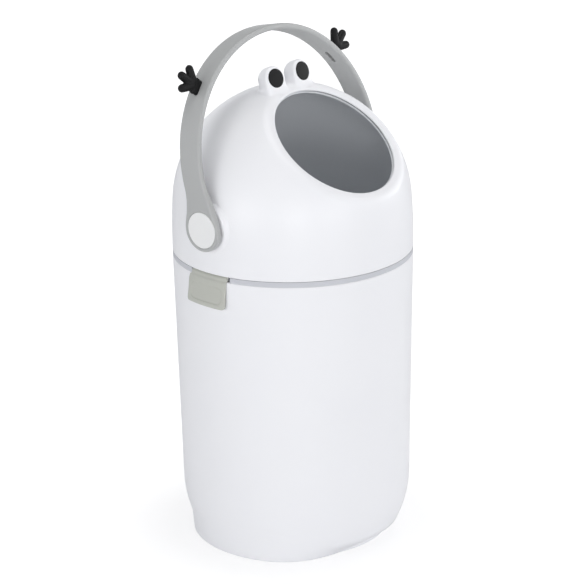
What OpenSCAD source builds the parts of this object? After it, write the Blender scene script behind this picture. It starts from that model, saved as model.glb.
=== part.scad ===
// Nappy bin with a domed lid, a turning drum inside it and a carrying handle that turns the drum.
// Millimetres. The origin is on the floor at the bin's own axis, +Z up, the mouth faces -Y.

/* [Body] */
// Outer radius at the body's top edge
body_r = 140; // [125:1:160]
// Height of the body's top edge above the floor
body_h = 343.6; // [280:0.1:420]
// How much smaller the radius is where the lower rounding starts
taper = 5; // [2:0.5:12]
// Height where the lower rounding starts
turn_z = 70; // [60:1:90]
// Radius of the long upper part of the lower rounding
long_r = 130; // [110:1:160]
// Radius of the short lower part of the lower rounding
short_r = 24; // [14:1:36]
// Height of the body's underside
base_z = 5; // [3:0.5:9]
// Wall thickness of the body and the lid
wall = 3; // [2:0.1:3.6]

/* [Foot ring] */
// How far inside the body's top radius the foot ring stands, at the back and sides
foot_in = 15.4; // [12:0.2:24]
// How far the front of the foot ring is flattened
foot_flat = 21.6; // [10:0.2:26]
// Wall thickness of the foot ring
foot_t = 4; // [2.5:0.5:6]
// Height where the foot ring meets the body at the front
crest_low = 7; // [6.6:0.1:10]
// Height where the foot ring meets the body at the sides
crest_high = 40; // [25:1:50]
// Height where the foot ring meets the body at the back
crest_back = 20; // [12:1:24]

/* [Bag ring] */
// Visible height of the grey ring between body and lid
ring_h = 5.8; // [5:0.1:9]
// Width of the ring's flat top
ring_w = 9; // [8:0.5:12]
// Depth of the skirt that clamps the bag inside the body
skirt_h = 20; // [10:1:40]
// Thickness of the clamping skirt
skirt_t = 2.6; // [2:0.1:3]
// Room for the folded bag between skirt and body wall
bag_room = 0.8; // [0.6:0.1:1.5]

/* [Lid] */
// Gap between the grey ring and the lid's lower edge
seam_gap = 0.2; // [0.1:0.05:0.3]
// How much smaller the dome's radius is than the body's
dome_in = 1.4; // [0.8:0.1:3]
// Height of the lid's straight lower band
band_h = 15.4; // [8:0.1:22]
// Height of the dome's centre, and of the drum's turning axis, above the lid's lower edge
axis_up = 52.9; // [46:0.1:80]
// Elevation of the mouth's axis above the horizontal
mouth_elev = 50.8; // [46:0.1:56]
// Radius of the opening in the lid
mouth_r = 76.1; // [60:0.1:80]
// Width of the flat lip round the opening
lip_w = 10.5; // [9.5:0.1:12]

/* [Eyes] */
// Sideways place of each eye
eye_x = 22.2; // [18:0.1:28]
// Fore and aft place of each eye's front
eye_y = 1.2; // [0:0.1:6]
// Height of each eye's centre above the dome
eye_up = 11.2; // [9:0.1:14]
// Radius of the black disc
eye_r = 11.1; // [8:0.1:12]
// Radius of the white bump that carries the disc
bump_r = 14.3; // [13:0.1:16]
// Depth of the bump in front of its round back
bump_d = 9.3; // [7:0.1:12]
// Upward tilt of each eye
eye_tilt = 18.3; // [10:0.1:25]
// Outward turn of each eye
eye_splay = 4.3; // [0:0.1:8]

/* [Drum] */
// Gap between the drum and the lid's wall
drum_gap = 6.1; // [5.5:0.1:9]
// Wall thickness of the drum
drum_t = 2.5; // [2:0.1:3.5]
// How much smaller the drum's own mouth is than the opening in the lid
drum_mouth_in = 0.8; // [0.5:0.1:3]
// Distance of the joint between bowl and mouth ring from the drum's centre
joint_h = 36; // [26:1:60]
// Radius of the drum's shafts
shaft_r = 9; // [7:0.1:10]

/* [Handle] */
// Lean of the handle behind the vertical, at rest
lean = 12; // [0:0.5:20]
// Travel of the handle and drum
travel = 138; // [90:1:138]
// Gap between the body's radius and the inside of the bow
bow_gap = 0.5; // [0.5:0.1:6]
// Thickness of the bow
bow_t = 7; // [5:0.5:9]
// Width of the bow's band
band_w = 31; // [20:1:36]
// Forward edge of the band, measured from the plane of the axis
band_front = 14.5; // [8:0.5:18]
// Distance of the bow's centre from the axis
bow_rise = 56.5; // [40:0.5:80]
// Radius of the round hub at each end of the bow
hub_r = 25; // [23.5:0.5:28]
// Width of the rim that each hub shows round its white cap
cap_rim = 4.1; // [3:0.1:6]
// Thickness of each hub
hub_t = 9; // [8.8:0.1:12]

/* [Latch] */
// Width of the latch tab
tab_w = 59; // [50:0.2:64]
// How far the tab reaches down from the body's top edge
tab_h = 33; // [28:0.2:46]
// How far the tab's lower end stands off the body's radius
tab_flare = 4.6; // [3.5:0.1:6]

/* [Hidden] */
$fn = 96;

white = [0.95, 0.95, 0.95];
ring_grey = [0.77, 0.78, 0.8];
drum_grey = [0.56, 0.57, 0.6];
handle_grey = [0.68, 0.68, 0.67];
tab_grey = [0.72, 0.72, 0.69];
eye_black = [0.1, 0.1, 0.1];
steel = [0.62, 0.63, 0.65];
eps = 0.01;

// Body outline
turn_r = body_r - taper;
arc_sin = (turn_z - base_z - short_r) / (long_r - short_r);
arc_end = asin(arc_sin);
long_c = [turn_r - long_r, turn_z];
short_c = [long_c[0] + (long_r - short_r) * cos(arc_end), base_z + short_r];
arc_z = turn_z - long_r * arc_sin;
function body_rad(z) =
    z > turn_z ? turn_r + (body_r - turn_r) * (z - turn_z) / (body_h - turn_z)
    : z > arc_z ? long_c[0] + sqrt(long_r * long_r - (turn_z - z) * (turn_z - z))
    : short_c[0] + sqrt(short_r * short_r - (short_c[1] - z) * (short_c[1] - z));

// Foot ring
foot_r = body_r - foot_in;
foot_steps = 144;
flat_span = 64;
wave_start = 8;
wave_end = 70;
fall_start = 92;
fall_end = 145;
seat_gap = 0.5;
seat_drop = 4;
sink = 1;

// Ring and lid heights
ring_top = body_h + ring_h;
ring_in = body_r - ring_w;
skirt_out = body_r - wall - bag_room;
lid_low = ring_top + seam_gap;
dome_r = body_r - dome_in;
axis_z = lid_low + axis_up;
bulge_z = lid_low + band_h;
bulge_d = axis_z - bulge_z;
bulge_r = ((body_r * body_r - dome_r * dome_r) + bulge_d * bulge_d) / (2 * (body_r - dome_r));
bulge_end = asin(bulge_d / (bulge_r - dome_r));
dome_z = bulge_z + bulge_r * sin(bulge_end);

// Mouth, lip and seal
lip_out = mouth_r + lip_w;
lip_h = sqrt(dome_r * dome_r - lip_out * lip_out);
lip_gap = 0.7;
lip_block = 12;
seal_in = 3;
seal_w = 5.6;
seal_d = 2.6;
seal_gap = 0.3;

// Hinge on the side away from the latch
hinge_r = 4.5;
hinge_x = body_r + hinge_r + 0.8;
hinge_z = body_h + 3;
hinge_half = 24;
knuckle_half = 13.6;
knuckle_gap = 0.4;
pin_r = 2;
pin_fit = 0.05;
leg_drop = 27;

// Latch
tab_low = body_h - tab_h;
tab_half = asin(tab_w / 2 / body_r);
tab_pin_r = 1.5;
tab_pin_x = body_r - 3.8;
tab_pin_z = body_h + 3;
barrel_r = 2.4;
lug_out = tab_w / 2 - 11.2;
lug_in = lug_out - 4;
barrel_half = lug_out + 2.5;
lug_gap = 0.35;
hook_half = min(lug_in - 2.5, 9.5);
hook_t = 2;
hook_in = body_r - 5.5;
keeper_top = body_h + 11.1;
hook_top = keeper_top + 4;
keeper_depth = 2.1;
spring_wire = 0.6;
spring_half = 3.2;

// Drum, shafts, bushes and hubs, measured along the axis from the middle
drum_r = dome_r - wall - drum_gap;
drum_mouth_r = mouth_r - drum_mouth_in;
shaft_flange_r = shaft_r + 4.6;
shaft_flange_in = drum_r - drum_t / 2;
boss_r = shaft_flange_r + 4.4;
boss_face = drum_r + 2.3;
bush_t = 2;
bush_flange = 1.2;
bush_flange_r = shaft_r + bush_t + 1.9;
bearing_in = boss_face + 0.5;
bearing_out = body_r - 0.4;
bearing_r = shaft_r + bush_t + 4;
hub_in = body_r + bow_gap;
bow_in = hub_in;
hub_face = hub_in + hub_t;
cap_x = hub_face + 0.5;
cap_r = hub_r - cap_rim;
stop_pad_r = hub_r + 1;
stop_pin_r = 1.8;
stop_gap = 0.3;
stop_r = bush_flange_r + stop_pin_r + stop_gap + 3.4;
shaft_key = shaft_r - 1.4;
key_gap = 0.1;
shaft_out = hub_in + 4;
cap_t = 2.6;
cap_gap = 0.1;
screw_r = 2.4;
screw_head_r = 4.6;
screw_head_t = 1.1;
screw_seat = cap_x - cap_t - 1.5;
band_back = band_w - band_front;
edge_r = 2.4;
flare_r = 34;

// Hands
hand_angle = 41;
hand_back = 2.5;
hand_tang_w = 18.6;
hand_tang_t = 4.2;
hand_tang_l = 4.6;
slot_gap = 0.2;
finger_r = 4.25;
hand_t = 7.6;

module on_side(s) {
    if (s < 0) mirror([1, 0, 0]) children();
    else children();
}

module at_axis() {
    translate([0, 0, axis_z]) children();
}

module at_mouth() {
    at_axis() rotate([90 - mouth_elev, 0, 0]) children();
}

module along_x(x0) {
    translate([x0, 0, 0]) rotate([0, 90, 0]) children();
}

module along_y(x, z, half) {
    translate([x, half, z]) rotate([90, 0, 0]) children();
}

module rounded_box_2d(size, r) {
    translate([r, 0]) square([size[0] - 2 * r, size[1]]);
    translate([0, r]) square([size[0], size[1] - 2 * r]);
    for (x = [r, size[0] - r], y = [r, size[1] - r]) translate([x, y]) circle(r = r, $fn = 32);
}

// Half outline of the body, set in by t
module body_outline(t) {
    polygon([[0, turn_z - eps], [turn_r - t, turn_z - eps], [body_r - t, body_h], [body_r - t, body_h + t],
             [0, body_h + t]]);
    intersection() {
        translate(long_c) circle(r = long_r - t, $fn = 180);
        translate([0, arc_z]) square([turn_r, turn_z - arc_z]);
    }
    intersection() {
        translate(short_c) circle(r = short_r - t);
        translate([short_c[0], base_z]) square([short_r, arc_z - base_z + eps]);
    }
    translate([0, base_z + t]) square([short_c[0] + eps, turn_z - base_z - t]);
}

module body_shell() {
    color(white) {
        difference() {
            union() {
                rotate_extrude($fn = 180) intersection() {
                    body_outline(0);
                    square([body_r + 1, body_h]);
                }
                for (y = [-hinge_half, knuckle_half + knuckle_gap]) hinge_lug(y);
            }
            rotate_extrude($fn = 180) body_outline(wall);
            along_y(hinge_x, hinge_z, hinge_half + 1) cylinder(r = pin_r + eps, h = 2 * hinge_half + 2, $fn = 48);
        }
    }
}

// One of the body's two hinge lugs, starting at y
module hinge_lug(y) {
    lug_w = hinge_half - knuckle_half - knuckle_gap;
    root = body_r - wall;
    translate([0, y + lug_w, 0]) rotate([90, 0, 0]) linear_extrude(height = lug_w) {
        translate([hinge_x, hinge_z]) circle(r = hinge_r, $fn = 48);
        polygon([[root, body_h - leg_drop], [hinge_x + hinge_r - 1, body_h - 5], [hinge_x + hinge_r, hinge_z],
                 [hinge_x - hinge_r, hinge_z], [body_r + 0.9, body_h - 0.3], [root, body_h - 0.3]]);
    }
}

module hinge_pin() {
    color(steel) {
        along_y(hinge_x, hinge_z, hinge_half) cylinder(r = pin_r, h = 2 * hinge_half, $fn = 48);
        along_y(hinge_x, hinge_z, -hinge_half) cylinder(r = pin_r + 1.2, h = 1, $fn = 48);
    }
}

// Foot ring: a skirt whose front is flattened and whose upper edge drops in a wave towards front and back
function front_angle(i) = let (a = 360 * i / foot_steps) min(a, 360 - a);
function floor_rad(a) = foot_r - (a < flat_span ? foot_flat * (1 + cos(180 * a / flat_span)) / 2 : 0);
function wave(a, start, end) = (1 - cos(180 * max(0, min(1, (a - start) / (end - start))))) / 2;
function crest_z(a) = crest_low + (crest_high - crest_low) * wave(a, wave_start, wave_end)
    - (crest_high - crest_back) * wave(a, fall_start, fall_end);
function low_seat(z) = max(base_z + 0.6, z - seat_drop);
function under_seat(z) = max(low_seat(z) - 3, (low_seat(z) + base_z + 0.3) / 2);
function around(i, r, z) = [r * sin(360 * i / foot_steps), -r * cos(360 * i / foot_steps), z];
function sunk_rad(a) = floor_rad(a) - sink * (body_rad(crest_z(a)) + seat_gap - floor_rad(a)) / crest_z(a);
function seat_point(i, z) = around(i, body_rad(z) + seat_gap, z);
function foot_section(i) = let (a = front_angle(i), z = crest_z(a)) [
    around(i, sunk_rad(a) - foot_t, -sink),
    around(i, sunk_rad(a), -sink),
    seat_point(i, z),
    seat_point(i, (z + low_seat(z)) / 2),
    seat_point(i, low_seat(z)),
    seat_point(i, under_seat(z)),
    around(i, min(body_rad(low_seat(z)), floor_rad(a)) - foot_t + 1, base_z - 1)];
function ring_faces(n, m) = [for (i = [0:n - 1], j = [0:m - 1], k = [0, 1])
    let (a = i * m + j, b = i * m + (j + 1) % m, c = ((i + 1) % n) * m + (j + 1) % m, d = ((i + 1) % n) * m + j)
    i < n / 2 ? (k == 0 ? [a, b, c] : [a, c, d]) : (k == 0 ? [a, b, d] : [b, c, d])];

module foot_ring() {
    color(white) difference() {
        polyhedron(points = [for (i = [0:foot_steps - 1]) each foot_section(i)], faces = ring_faces(foot_steps, 7));
        translate([-body_r, -body_r, -3 * sink]) cube([2 * body_r, 2 * body_r, 3 * sink]);
    }
}

module bag_ring() {
    color(ring_grey) {
        difference() {
            rotate_extrude($fn = 180) {
                translate([ring_in, body_h]) square([ring_w, ring_h]);
                translate([skirt_out - skirt_t, body_h - skirt_h]) square([skirt_t, skirt_h + eps]);
            }
            difference() {
                translate([-body_r - 1, -tab_w / 2 - 0.6, body_h]) {
                    cube([body_r + 1 - (ring_in + 2.2), tab_w + 1.2, ring_h + 1]);
                }
                for (s = [-1, 1]) tab_lug(s);
            }
            translate([-body_r, -hook_half - 1, body_h]) cube([ring_w + 3, 2 * hook_half + 2, ring_h + 1]);
            along_y(-tab_pin_x, tab_pin_z, barrel_half) cylinder(r = tab_pin_r + eps, h = 2 * barrel_half, $fn = 48);
        }
    }
}

// Lug on the ring that carries the latch's pin
module tab_lug(s) {
    y0 = s > 0 ? lug_in : -lug_out;
    along_y(-tab_pin_x, tab_pin_z, y0 + lug_out - lug_in) cylinder(r = barrel_r, h = lug_out - lug_in, $fn = 48);
    translate([-tab_pin_x, y0, body_h]) cube([tab_pin_x - ring_in, lug_out - lug_in, tab_pin_z - body_h + barrel_r]);
    translate([-tab_pin_x - barrel_r, y0, body_h]) cube([2 * barrel_r, lug_out - lug_in, tab_pin_z - body_h]);
}

module latch_pin() {
    color(steel) along_y(-tab_pin_x, tab_pin_z, barrel_half - 0.5) {
        cylinder(r = tab_pin_r, h = 2 * barrel_half - 1, $fn = 48);
    }
}

// Torsion spring on the latch's pin: a coil between two straight legs
coil_turns = 3.5;
coil_steps = 14;
coil_r = tab_pin_r + 0.25 + spring_wire / 2;
coil_start = 200;
coil_n = round(coil_turns * coil_steps);
leg_len = 1.6;
function coil_point(k) = let (a = coil_start + 360 * k / coil_steps)
    [coil_r * cos(a), -spring_half + 2 * spring_half * k / coil_n, coil_r * sin(a)];
function coil_dir(k) = let (a = coil_start + 360 * k / coil_steps) [-sin(a), 0, cos(a)];
coil_path = concat([coil_point(0) - leg_len * coil_dir(0)], [for (k = [0:coil_n]) coil_point(k)],
                   [coil_point(coil_n) + leg_len * coil_dir(coil_n)]);
function coil_angle(k) = coil_start + 360 * max(0, min(coil_n, k - 1)) / coil_steps;
function wire_ring(k) = let (a = coil_angle(k), out = [cos(a), 0, sin(a)], p = coil_path[k])
    [for (j = [0:5]) p + spring_wire / 2 * (cos(60 * j) * out + sin(60 * j) * [0, 1, 0])];

module latch_spring() {
    rings = len(coil_path);
    sides = [for (i = [0:rings - 2], j = [0:5], k = [0, 1])
        let (a = i * 6 + j, b = i * 6 + (j + 1) % 6) k == 0 ? [a, b, b + 6] : [a, b + 6, a + 6]];
    caps = [[5, 4, 3, 2, 1, 0], [for (j = [0:5]) (rings - 1) * 6 + j]];
    color(steel) translate([-tab_pin_x, 0, tab_pin_z]) {
        polyhedron(points = [for (k = [0:rings - 1]) each wire_ring(k)], faces = concat(sides, caps));
    }
}

// Latch lever: a curved tab that flares out at its lower end, a pivot barrel and a hook
face_top = [body_r + 1.6, body_h - 1.6];
face_low = [body_r + tab_flare, tab_low + 1.5];
function face_rad(z) = face_low[0] + (face_top[0] - face_low[0]) * (z - face_low[1]) / (face_top[1] - face_low[1]);
tab_profile = [[body_r - 2.3, ring_top - 0.3], [body_r - 1.2, ring_top - 0.9], [body_r - 0.1, ring_top - 1.9],
               [body_r + 0.2, body_h + 0.6], face_top, face_low, [face_low[0] - 1, tab_low],
               [face_low[0] - 3, tab_low], [body_r + 0.4, body_h + 0.2], [body_r - 1, body_h + 0.5],
               [body_r - 2.3, body_h + 0.5]];
panel_margin = 3.6;
panel_depth = 0.8;
panel_top = body_h - 6;

module latch_lever() {
    color(tab_grey) difference() {
        union() {
            intersection() {
                rotate([0, 0, 180 - tab_half]) rotate_extrude(angle = 2 * tab_half, $fn = 180) polygon(tab_profile);
                along_panel(ring_in, 2 * ring_w) translate([-tab_w / 2, tab_low]) {
                    rounded_box_2d([tab_w, ring_top + 6 - tab_low], 4);
                }
            }
            along_y(-tab_pin_x, tab_pin_z, barrel_half) cylinder(r = barrel_r, h = 2 * barrel_half, $fn = 48);
            translate([0, hook_half, 0]) rotate([90, 0, 0]) linear_extrude(height = 2 * hook_half) {
                polygon([[-tab_pin_x, tab_pin_z], [-hook_in + hook_t, tab_pin_z + 0.6],
                         [-hook_in + hook_t, hook_top], [-hook_in - 0.4, hook_top],
                         [-hook_in - 2, hook_top - 1.6], [-hook_in - 2, keeper_top + 1.6],
                         [-hook_in, keeper_top + 0.4], [-hook_in, tab_pin_z + barrel_r],
                         [-tab_pin_x, tab_pin_z + barrel_r]]);
            }
        }
        for (s = [-1, 1]) {
            y0 = s > 0 ? lug_in - lug_gap : -lug_out - lug_gap;
            translate([-tab_pin_x - barrel_r - 0.4, y0, body_h]) {
                cube([2 * barrel_r + 4, lug_out - lug_in + 2 * lug_gap, ring_h + 1]);
            }
        }
        along_y(-tab_pin_x, tab_pin_z, spring_half + 0.6) {
            cylinder(r = coil_r + spring_wire / 2 + 0.7, h = 2 * spring_half + 1.2, $fn = 48);
        }
        translate([-tab_pin_x, -spring_half - 0.6, body_h]) cube([2, 2 * spring_half + 1.2, ring_h - 0.4]);
        along_y(-tab_pin_x, tab_pin_z, barrel_half + 1) {
            cylinder(r = tab_pin_r + pin_fit, h = 2 * barrel_half + 2, $fn = 48);
        }
        intersection() {
            rotate([0, 0, 180 - tab_half]) rotate_extrude(angle = 2 * tab_half, $fn = 180) {
                polygon([[face_rad(body_h) - panel_depth, body_h], [body_r + ring_w, body_h],
                         [body_r + ring_w, tab_low], [face_rad(tab_low) - panel_depth, tab_low]]);
            }
            along_panel(ring_in, 2 * ring_w) translate([-tab_w / 2 + panel_margin, tab_low + panel_margin]) {
                rounded_box_2d([tab_w - 2 * panel_margin, panel_top - tab_low - panel_margin], 3);
            }
        }
    }
}

// Stands a flat outline up facing the latch side, from x to x + t
module along_panel(x, t) {
    translate([-x, 0, 0]) rotate([90, 0, -90]) linear_extrude(height = t) children();
}

module latch_keeper() {
    inner = body_r - wall;
    color(steel) rotate([0, 0, 180 - 5]) rotate_extrude(angle = 10, $fn = 180) {
        polygon([[inner - 0.1, lid_low + 0.6], [inner - 0.1, keeper_top], [inner - keeper_depth + 0.9, keeper_top],
                 [inner - keeper_depth, keeper_top - 0.9], [inner - keeper_depth, lid_low + 2],
                 [inner - keeper_depth + 1.4, lid_low + 0.6]]);
    }
}

// Half outline of the lid, set in by t
module lid_outline(t) {
    translate([0, lid_low - t]) square([body_r - t, band_h + t]);
    intersection() {
        translate([body_r - bulge_r, bulge_z]) circle(r = bulge_r - t, $fn = 720);
        translate([0, bulge_z - eps]) square([body_r, dome_z - bulge_z + 2 * eps]);
    }
    intersection() {
        translate([0, axis_z]) circle(r = dome_r - t, $fn = 240);
        translate([0, dome_z]) square([body_r, dome_r]);
    }
}

module at_eye(s) {
    translate([s * eye_x, eye_y, axis_z + dome_r + eye_up]) rotate([0, 0, s * eye_splay]) {
        rotate([90 - eye_tilt, 0, 0]) children();
    }
}

// Bump that carries an eye: round at the back, flat in front, standing on the dome
module eye_bump(s, r, front) {
    bevel = 1.6;
    intersection() {
        union() {
            at_eye(s) {
                translate([0, 0, -bump_d]) sphere(r = r, $fn = 64);
                translate([0, 0, -bump_d]) cylinder(r = r, h = bump_d - bevel, $fn = 64);
                translate([0, 0, -bevel - eps]) cylinder(r1 = r, r2 = r - bevel, h = bevel + eps, $fn = 64);
            }
            at_eye(s) translate([0, 0, -bump_d]) rotate([-90 + eye_tilt, 0, 0]) {
                translate([0, 0, -24]) cylinder(r = r, h = 24, $fn = 64);
            }
        }
        at_eye(s) translate([0, 0, -6 * bump_r - front]) cylinder(r = 4 * bump_r, h = 6 * bump_r);
    }
}

module lid_shell() {
    color(white) difference() {
        union() {
            difference() {
                union() {
                    difference() {
                        rotate_extrude($fn = 240) lid_outline(0);
                        at_mouth() translate([0, 0, lip_h]) cylinder(r = lip_out + 6, h = dome_r);
                    }
                    for (s = [-1, 1]) {
                        eye_bump(s, bump_r, 0);
                        on_side(s) at_axis() along_x(dome_r - 10) cylinder(r = stop_pad_r, h = bearing_out - dome_r + 10);
                    }
                    lid_knuckle();
                }
                difference() {
                    rotate_extrude($fn = 240) lid_outline(wall);
                    at_mouth() difference() {
                        translate([0, 0, lip_h - lip_block]) cylinder(r = lip_out + 2.5, h = lip_block);
                        sphere(r = drum_r + lip_gap, $fn = 240);
                    }
                }
                for (s = [-1, 1]) eye_bump(s, bump_r - wall, wall + 1.5);
                at_mouth() cylinder(r = mouth_r, h = dome_r, $fn = 180);
            }
            for (s = [-1, 1]) on_side(s) at_axis() {
                along_x(bearing_in) cylinder(r = bearing_r, h = bearing_out - bearing_in);
            }
        }
        at_mouth() seal_groove();
        for (s = [-1, 1]) {
            at_eye(s) translate([0, 0, -1.5]) cylinder(r = eye_r + 0.1, h = 4);
            on_side(s) at_axis() {
                along_x(bearing_in - 1) cylinder(r = shaft_r + bush_t, h = 20);
                along_x(bearing_out - bush_flange) cylinder(r = bush_flange_r + 0.1, h = 5);
                stop_groove();
            }
        }
    }
}

// Arc-shaped groove in the lid's pad that ends the handle's travel
module stop_groove() {
    half = asin((stop_pin_r + stop_gap) / stop_r);
    along_x(bearing_out - 1.6) rotate([0, 0, 180 - lean - half]) {
        rotate_extrude(angle = travel + 2 * half) {
            translate([stop_r - stop_pin_r - stop_gap, 0]) square([2 * (stop_pin_r + stop_gap), 3]);
        }
    }
}

module seal_groove() {
    rotate_extrude($fn = 180) intersection() {
        translate([mouth_r + seal_in, 0]) square([seal_w, dome_r]);
        circle(r = drum_r + lip_gap + seal_d, $fn = 240);
    }
}

module mouth_seal() {
    color(drum_grey) at_mouth() rotate_extrude($fn = 180) difference() {
        intersection() {
            translate([mouth_r + seal_in + 0.1, 0]) square([seal_w - 0.2, dome_r]);
            circle(r = drum_r + lip_gap + seal_d - 0.1, $fn = 240);
        }
        circle(r = drum_r + seal_gap, $fn = 240);
    }
}

// The lid's hinge knuckle, between the body's two lugs
module lid_knuckle() {
    difference() {
        translate([0, knuckle_half, 0]) rotate([90, 0, 0]) linear_extrude(height = 2 * knuckle_half) {
            translate([hinge_x, hinge_z]) circle(r = hinge_r, $fn = 48);
            polygon([[hinge_x - hinge_r, hinge_z], [body_r + 0.3, lid_low], [body_r - wall + 1, lid_low],
                     [body_r - wall + 1, lid_low + leg_drop], [hinge_x + hinge_r - 1, lid_low + 6],
                     [hinge_x + hinge_r, hinge_z]]);
        }
        along_y(hinge_x, hinge_z, knuckle_half + 1) cylinder(r = pin_r + pin_fit, h = 2 * knuckle_half + 2, $fn = 48);
    }
}

module bush() {
    at_axis() difference() {
        union() {
            along_x(bearing_in) cylinder(r = shaft_r + bush_t, h = bearing_out - bearing_in);
            along_x(bearing_out - bush_flange) cylinder(r = bush_flange_r, h = bush_flange);
        }
        along_x(bearing_in - 1) cylinder(r = shaft_r + pin_fit, h = 20);
    }
}

module left_bush() {
    color(ring_grey) on_side(-1) bush();
}

module right_bush() {
    color(ring_grey) on_side(1) bush();
}

// Eye disc: a shallow button with a rounded edge and a gently curved face
module eye_disc() {
    rim = 0.8;
    rotate_extrude() {
        translate([0, -1.5]) square([eye_r, 1.5 + eps]);
        square([eye_r - rim, rim]);
        translate([eye_r - rim, 0]) intersection() {
            circle(r = rim, $fn = 32);
            square(rim);
        }
    }
}

module left_eye() {
    color(eye_black) at_eye(-1) eye_disc();
}

module right_eye() {
    color(eye_black) at_eye(1) eye_disc();
}

module shell_profile(low, high) {
    intersection() {
        difference() {
            circle(r = drum_r, $fn = 240);
            circle(r = drum_r - drum_t, $fn = 240);
        }
        translate([0, low]) square([drum_r, high - low]);
    }
}

tongue_h = 4;
tongue_r = drum_r - drum_t / 2;

module drum_bowl() {
    color(drum_grey) at_mouth() difference() {
        union() {
            rotate_extrude($fn = 180) difference() {
                intersection() {
                    circle(r = drum_r, $fn = 240);
                    translate([0, -drum_r]) square([drum_r, drum_r + joint_h + tongue_h]);
                }
                difference() {
                    translate([0, joint_h]) square([drum_r + 1, tongue_h + 1]);
                    circle(r = tongue_r - 0.05, $fn = 240);
                }
            }
            for (s = [-1, 1]) on_side(s) {
                along_x(shaft_flange_in - 1.8) cylinder(r = boss_r, h = boss_face - shaft_flange_in + 1.8);
            }
        }
        sphere(r = drum_r - drum_t, $fn = 240);
        for (s = [-1, 1]) on_side(s) {
            along_x(shaft_flange_in) cylinder(r = shaft_flange_r + key_gap, h = 20, $fn = 6);
        }
    }
}

module drum_mouth_ring() {
    mouth_h = sqrt(drum_r * drum_r - drum_mouth_r * drum_mouth_r);
    color(drum_grey) at_mouth() rotate_extrude($fn = 180) {
        difference() {
            intersection() {
                shell_profile(joint_h, mouth_h);
                translate([drum_mouth_r, 0]) square([drum_r, drum_r]);
            }
            intersection() {
                circle(r = tongue_r + 0.05, $fn = 240);
                translate([0, joint_h - 1]) square([drum_r, tongue_h + 1.1]);
            }
        }
    }
}

// Shaft: a six-sided flange in the drum's boss, a round neck in the bush and a six-sided key in the hub
module shaft() {
    at_axis() difference() {
        union() {
            rotate([90 - mouth_elev, 0, 0]) along_x(shaft_flange_in + 0.1) {
                cylinder(r = shaft_flange_r, h = boss_face - shaft_flange_in - 0.1, $fn = 6);
            }
            along_x(boss_face - eps) cylinder(r = shaft_r, h = bearing_out - boss_face + 0.5);
            rotate([-lean, 0, 0]) along_x(bearing_out) cylinder(r = shaft_key, h = shaft_out - bearing_out, $fn = 6);
        }
        along_x(shaft_flange_in + 2) cylinder(r = screw_r, h = 40, $fn = 32);
    }
}

module left_shaft() {
    color(ring_grey) on_side(-1) shaft();
}

module right_shaft() {
    color(ring_grey) on_side(1) shaft();
}

module hub_screw() {
    head_x = screw_seat + 0.1;
    at_axis() {
        along_x(shaft_flange_in + 4) cylinder(r = screw_r - 0.02, h = head_x - shaft_flange_in - 4 + eps, $fn = 32);
        along_x(head_x) difference() {
            cylinder(r = screw_head_r, h = screw_head_t, $fn = 48);
            translate([0, 0, 0.5]) cylinder(r = 1.8, h = 2, $fn = 6);
        }
    }
}

module left_hub_screw() {
    color(steel) on_side(-1) hub_screw();
}

module right_hub_screw() {
    color(steel) on_side(1) hub_screw();
}

module hub_cap() {
    at_axis() along_x(cap_x - cap_t) rotate_extrude() {
        square([cap_r, cap_t - 0.8]);
        square([cap_r - 0.8, cap_t]);
        translate([cap_r - 0.8, cap_t - 0.8]) circle(r = 0.8, $fn = 24);
    }
}

module left_hub_cap() {
    color(white) on_side(-1) hub_cap();
}

module right_hub_cap() {
    color(white) on_side(1) hub_cap();
}

// Web that widens the leg into its hub, on its back (1) or its front (-1)
module hub_flare(s) {
    inset = 0.8;
    edge = s > 0 ? band_back : -band_front;
    reach = hub_r + flare_r;
    cx = edge + s * flare_r;
    cy = sqrt(reach * reach - cx * cx);
    translate([hub_in + inset, 0, 0]) rotate([90, 0, 90]) linear_extrude(height = bow_t - 2 * inset) difference() {
        polygon([[0, 0], [edge - 2 * s, cy], [cx, cy]]);
        translate([cx, cy]) circle(r = flare_r + 0.2, $fn = 180);
    }
}

module handle_leg() {
    translate([hub_in, -band_front, 0]) linear_extrude(height = bow_rise) rounded_box_2d([bow_t, band_w], edge_r);
    for (s = [-1, 1]) hub_flare(s);
    along_x(hub_in) rotate_extrude() {
        square([hub_r - edge_r, hub_t]);
        square([hub_r, hub_t - edge_r]);
        translate([hub_r - edge_r, hub_t - edge_r]) circle(r = edge_r, $fn = 32);
    }
    along_x(bearing_out - 1.2) translate([-stop_r, 0, 0]) {
        cylinder(r = stop_pin_r, h = hub_in - bearing_out + 2, $fn = 32);
    }
}

module handle() {
    recess = cap_t + 0.4;
    color(handle_grey) at_axis() rotate([-lean, 0, 0]) difference() {
        union() {
            translate([0, 0, bow_rise]) rotate([90, 0, 0]) rotate_extrude(angle = 180, $fn = 180) {
                translate([bow_in, -band_back]) rounded_box_2d([bow_t, band_w], edge_r);
            }
            for (s = [-1, 1]) on_side(s) handle_leg();
        }
        for (s = [-1, 1]) on_side(s) {
            along_x(cap_x - recess) cylinder(r = cap_r + cap_gap, h = 10);
            along_x(hub_in - 1) cylinder(r = shaft_key + key_gap, h = shaft_out - hub_in + 1, $fn = 6);
            along_x(shaft_out - 1) cylinder(r = screw_r + 0.3, h = 10, $fn = 32);
            along_x(screw_seat) cylinder(r = screw_head_r + 0.4, h = 10, $fn = 48);
            at_hand() translate([0, 0, -bow_t / 2]) {
                cube([hand_tang_w + 2 * slot_gap, hand_tang_t + 2 * slot_gap, bow_t + 4], center = true);
            }
        }
    }
}

// Frame on the bow's outer face where a hand stands: local +Z points away from the bow
module at_hand() {
    translate([0, hand_back, bow_rise]) rotate([0, 90 - hand_angle, 0]) translate([0, 0, bow_in + bow_t]) children();
}

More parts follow.
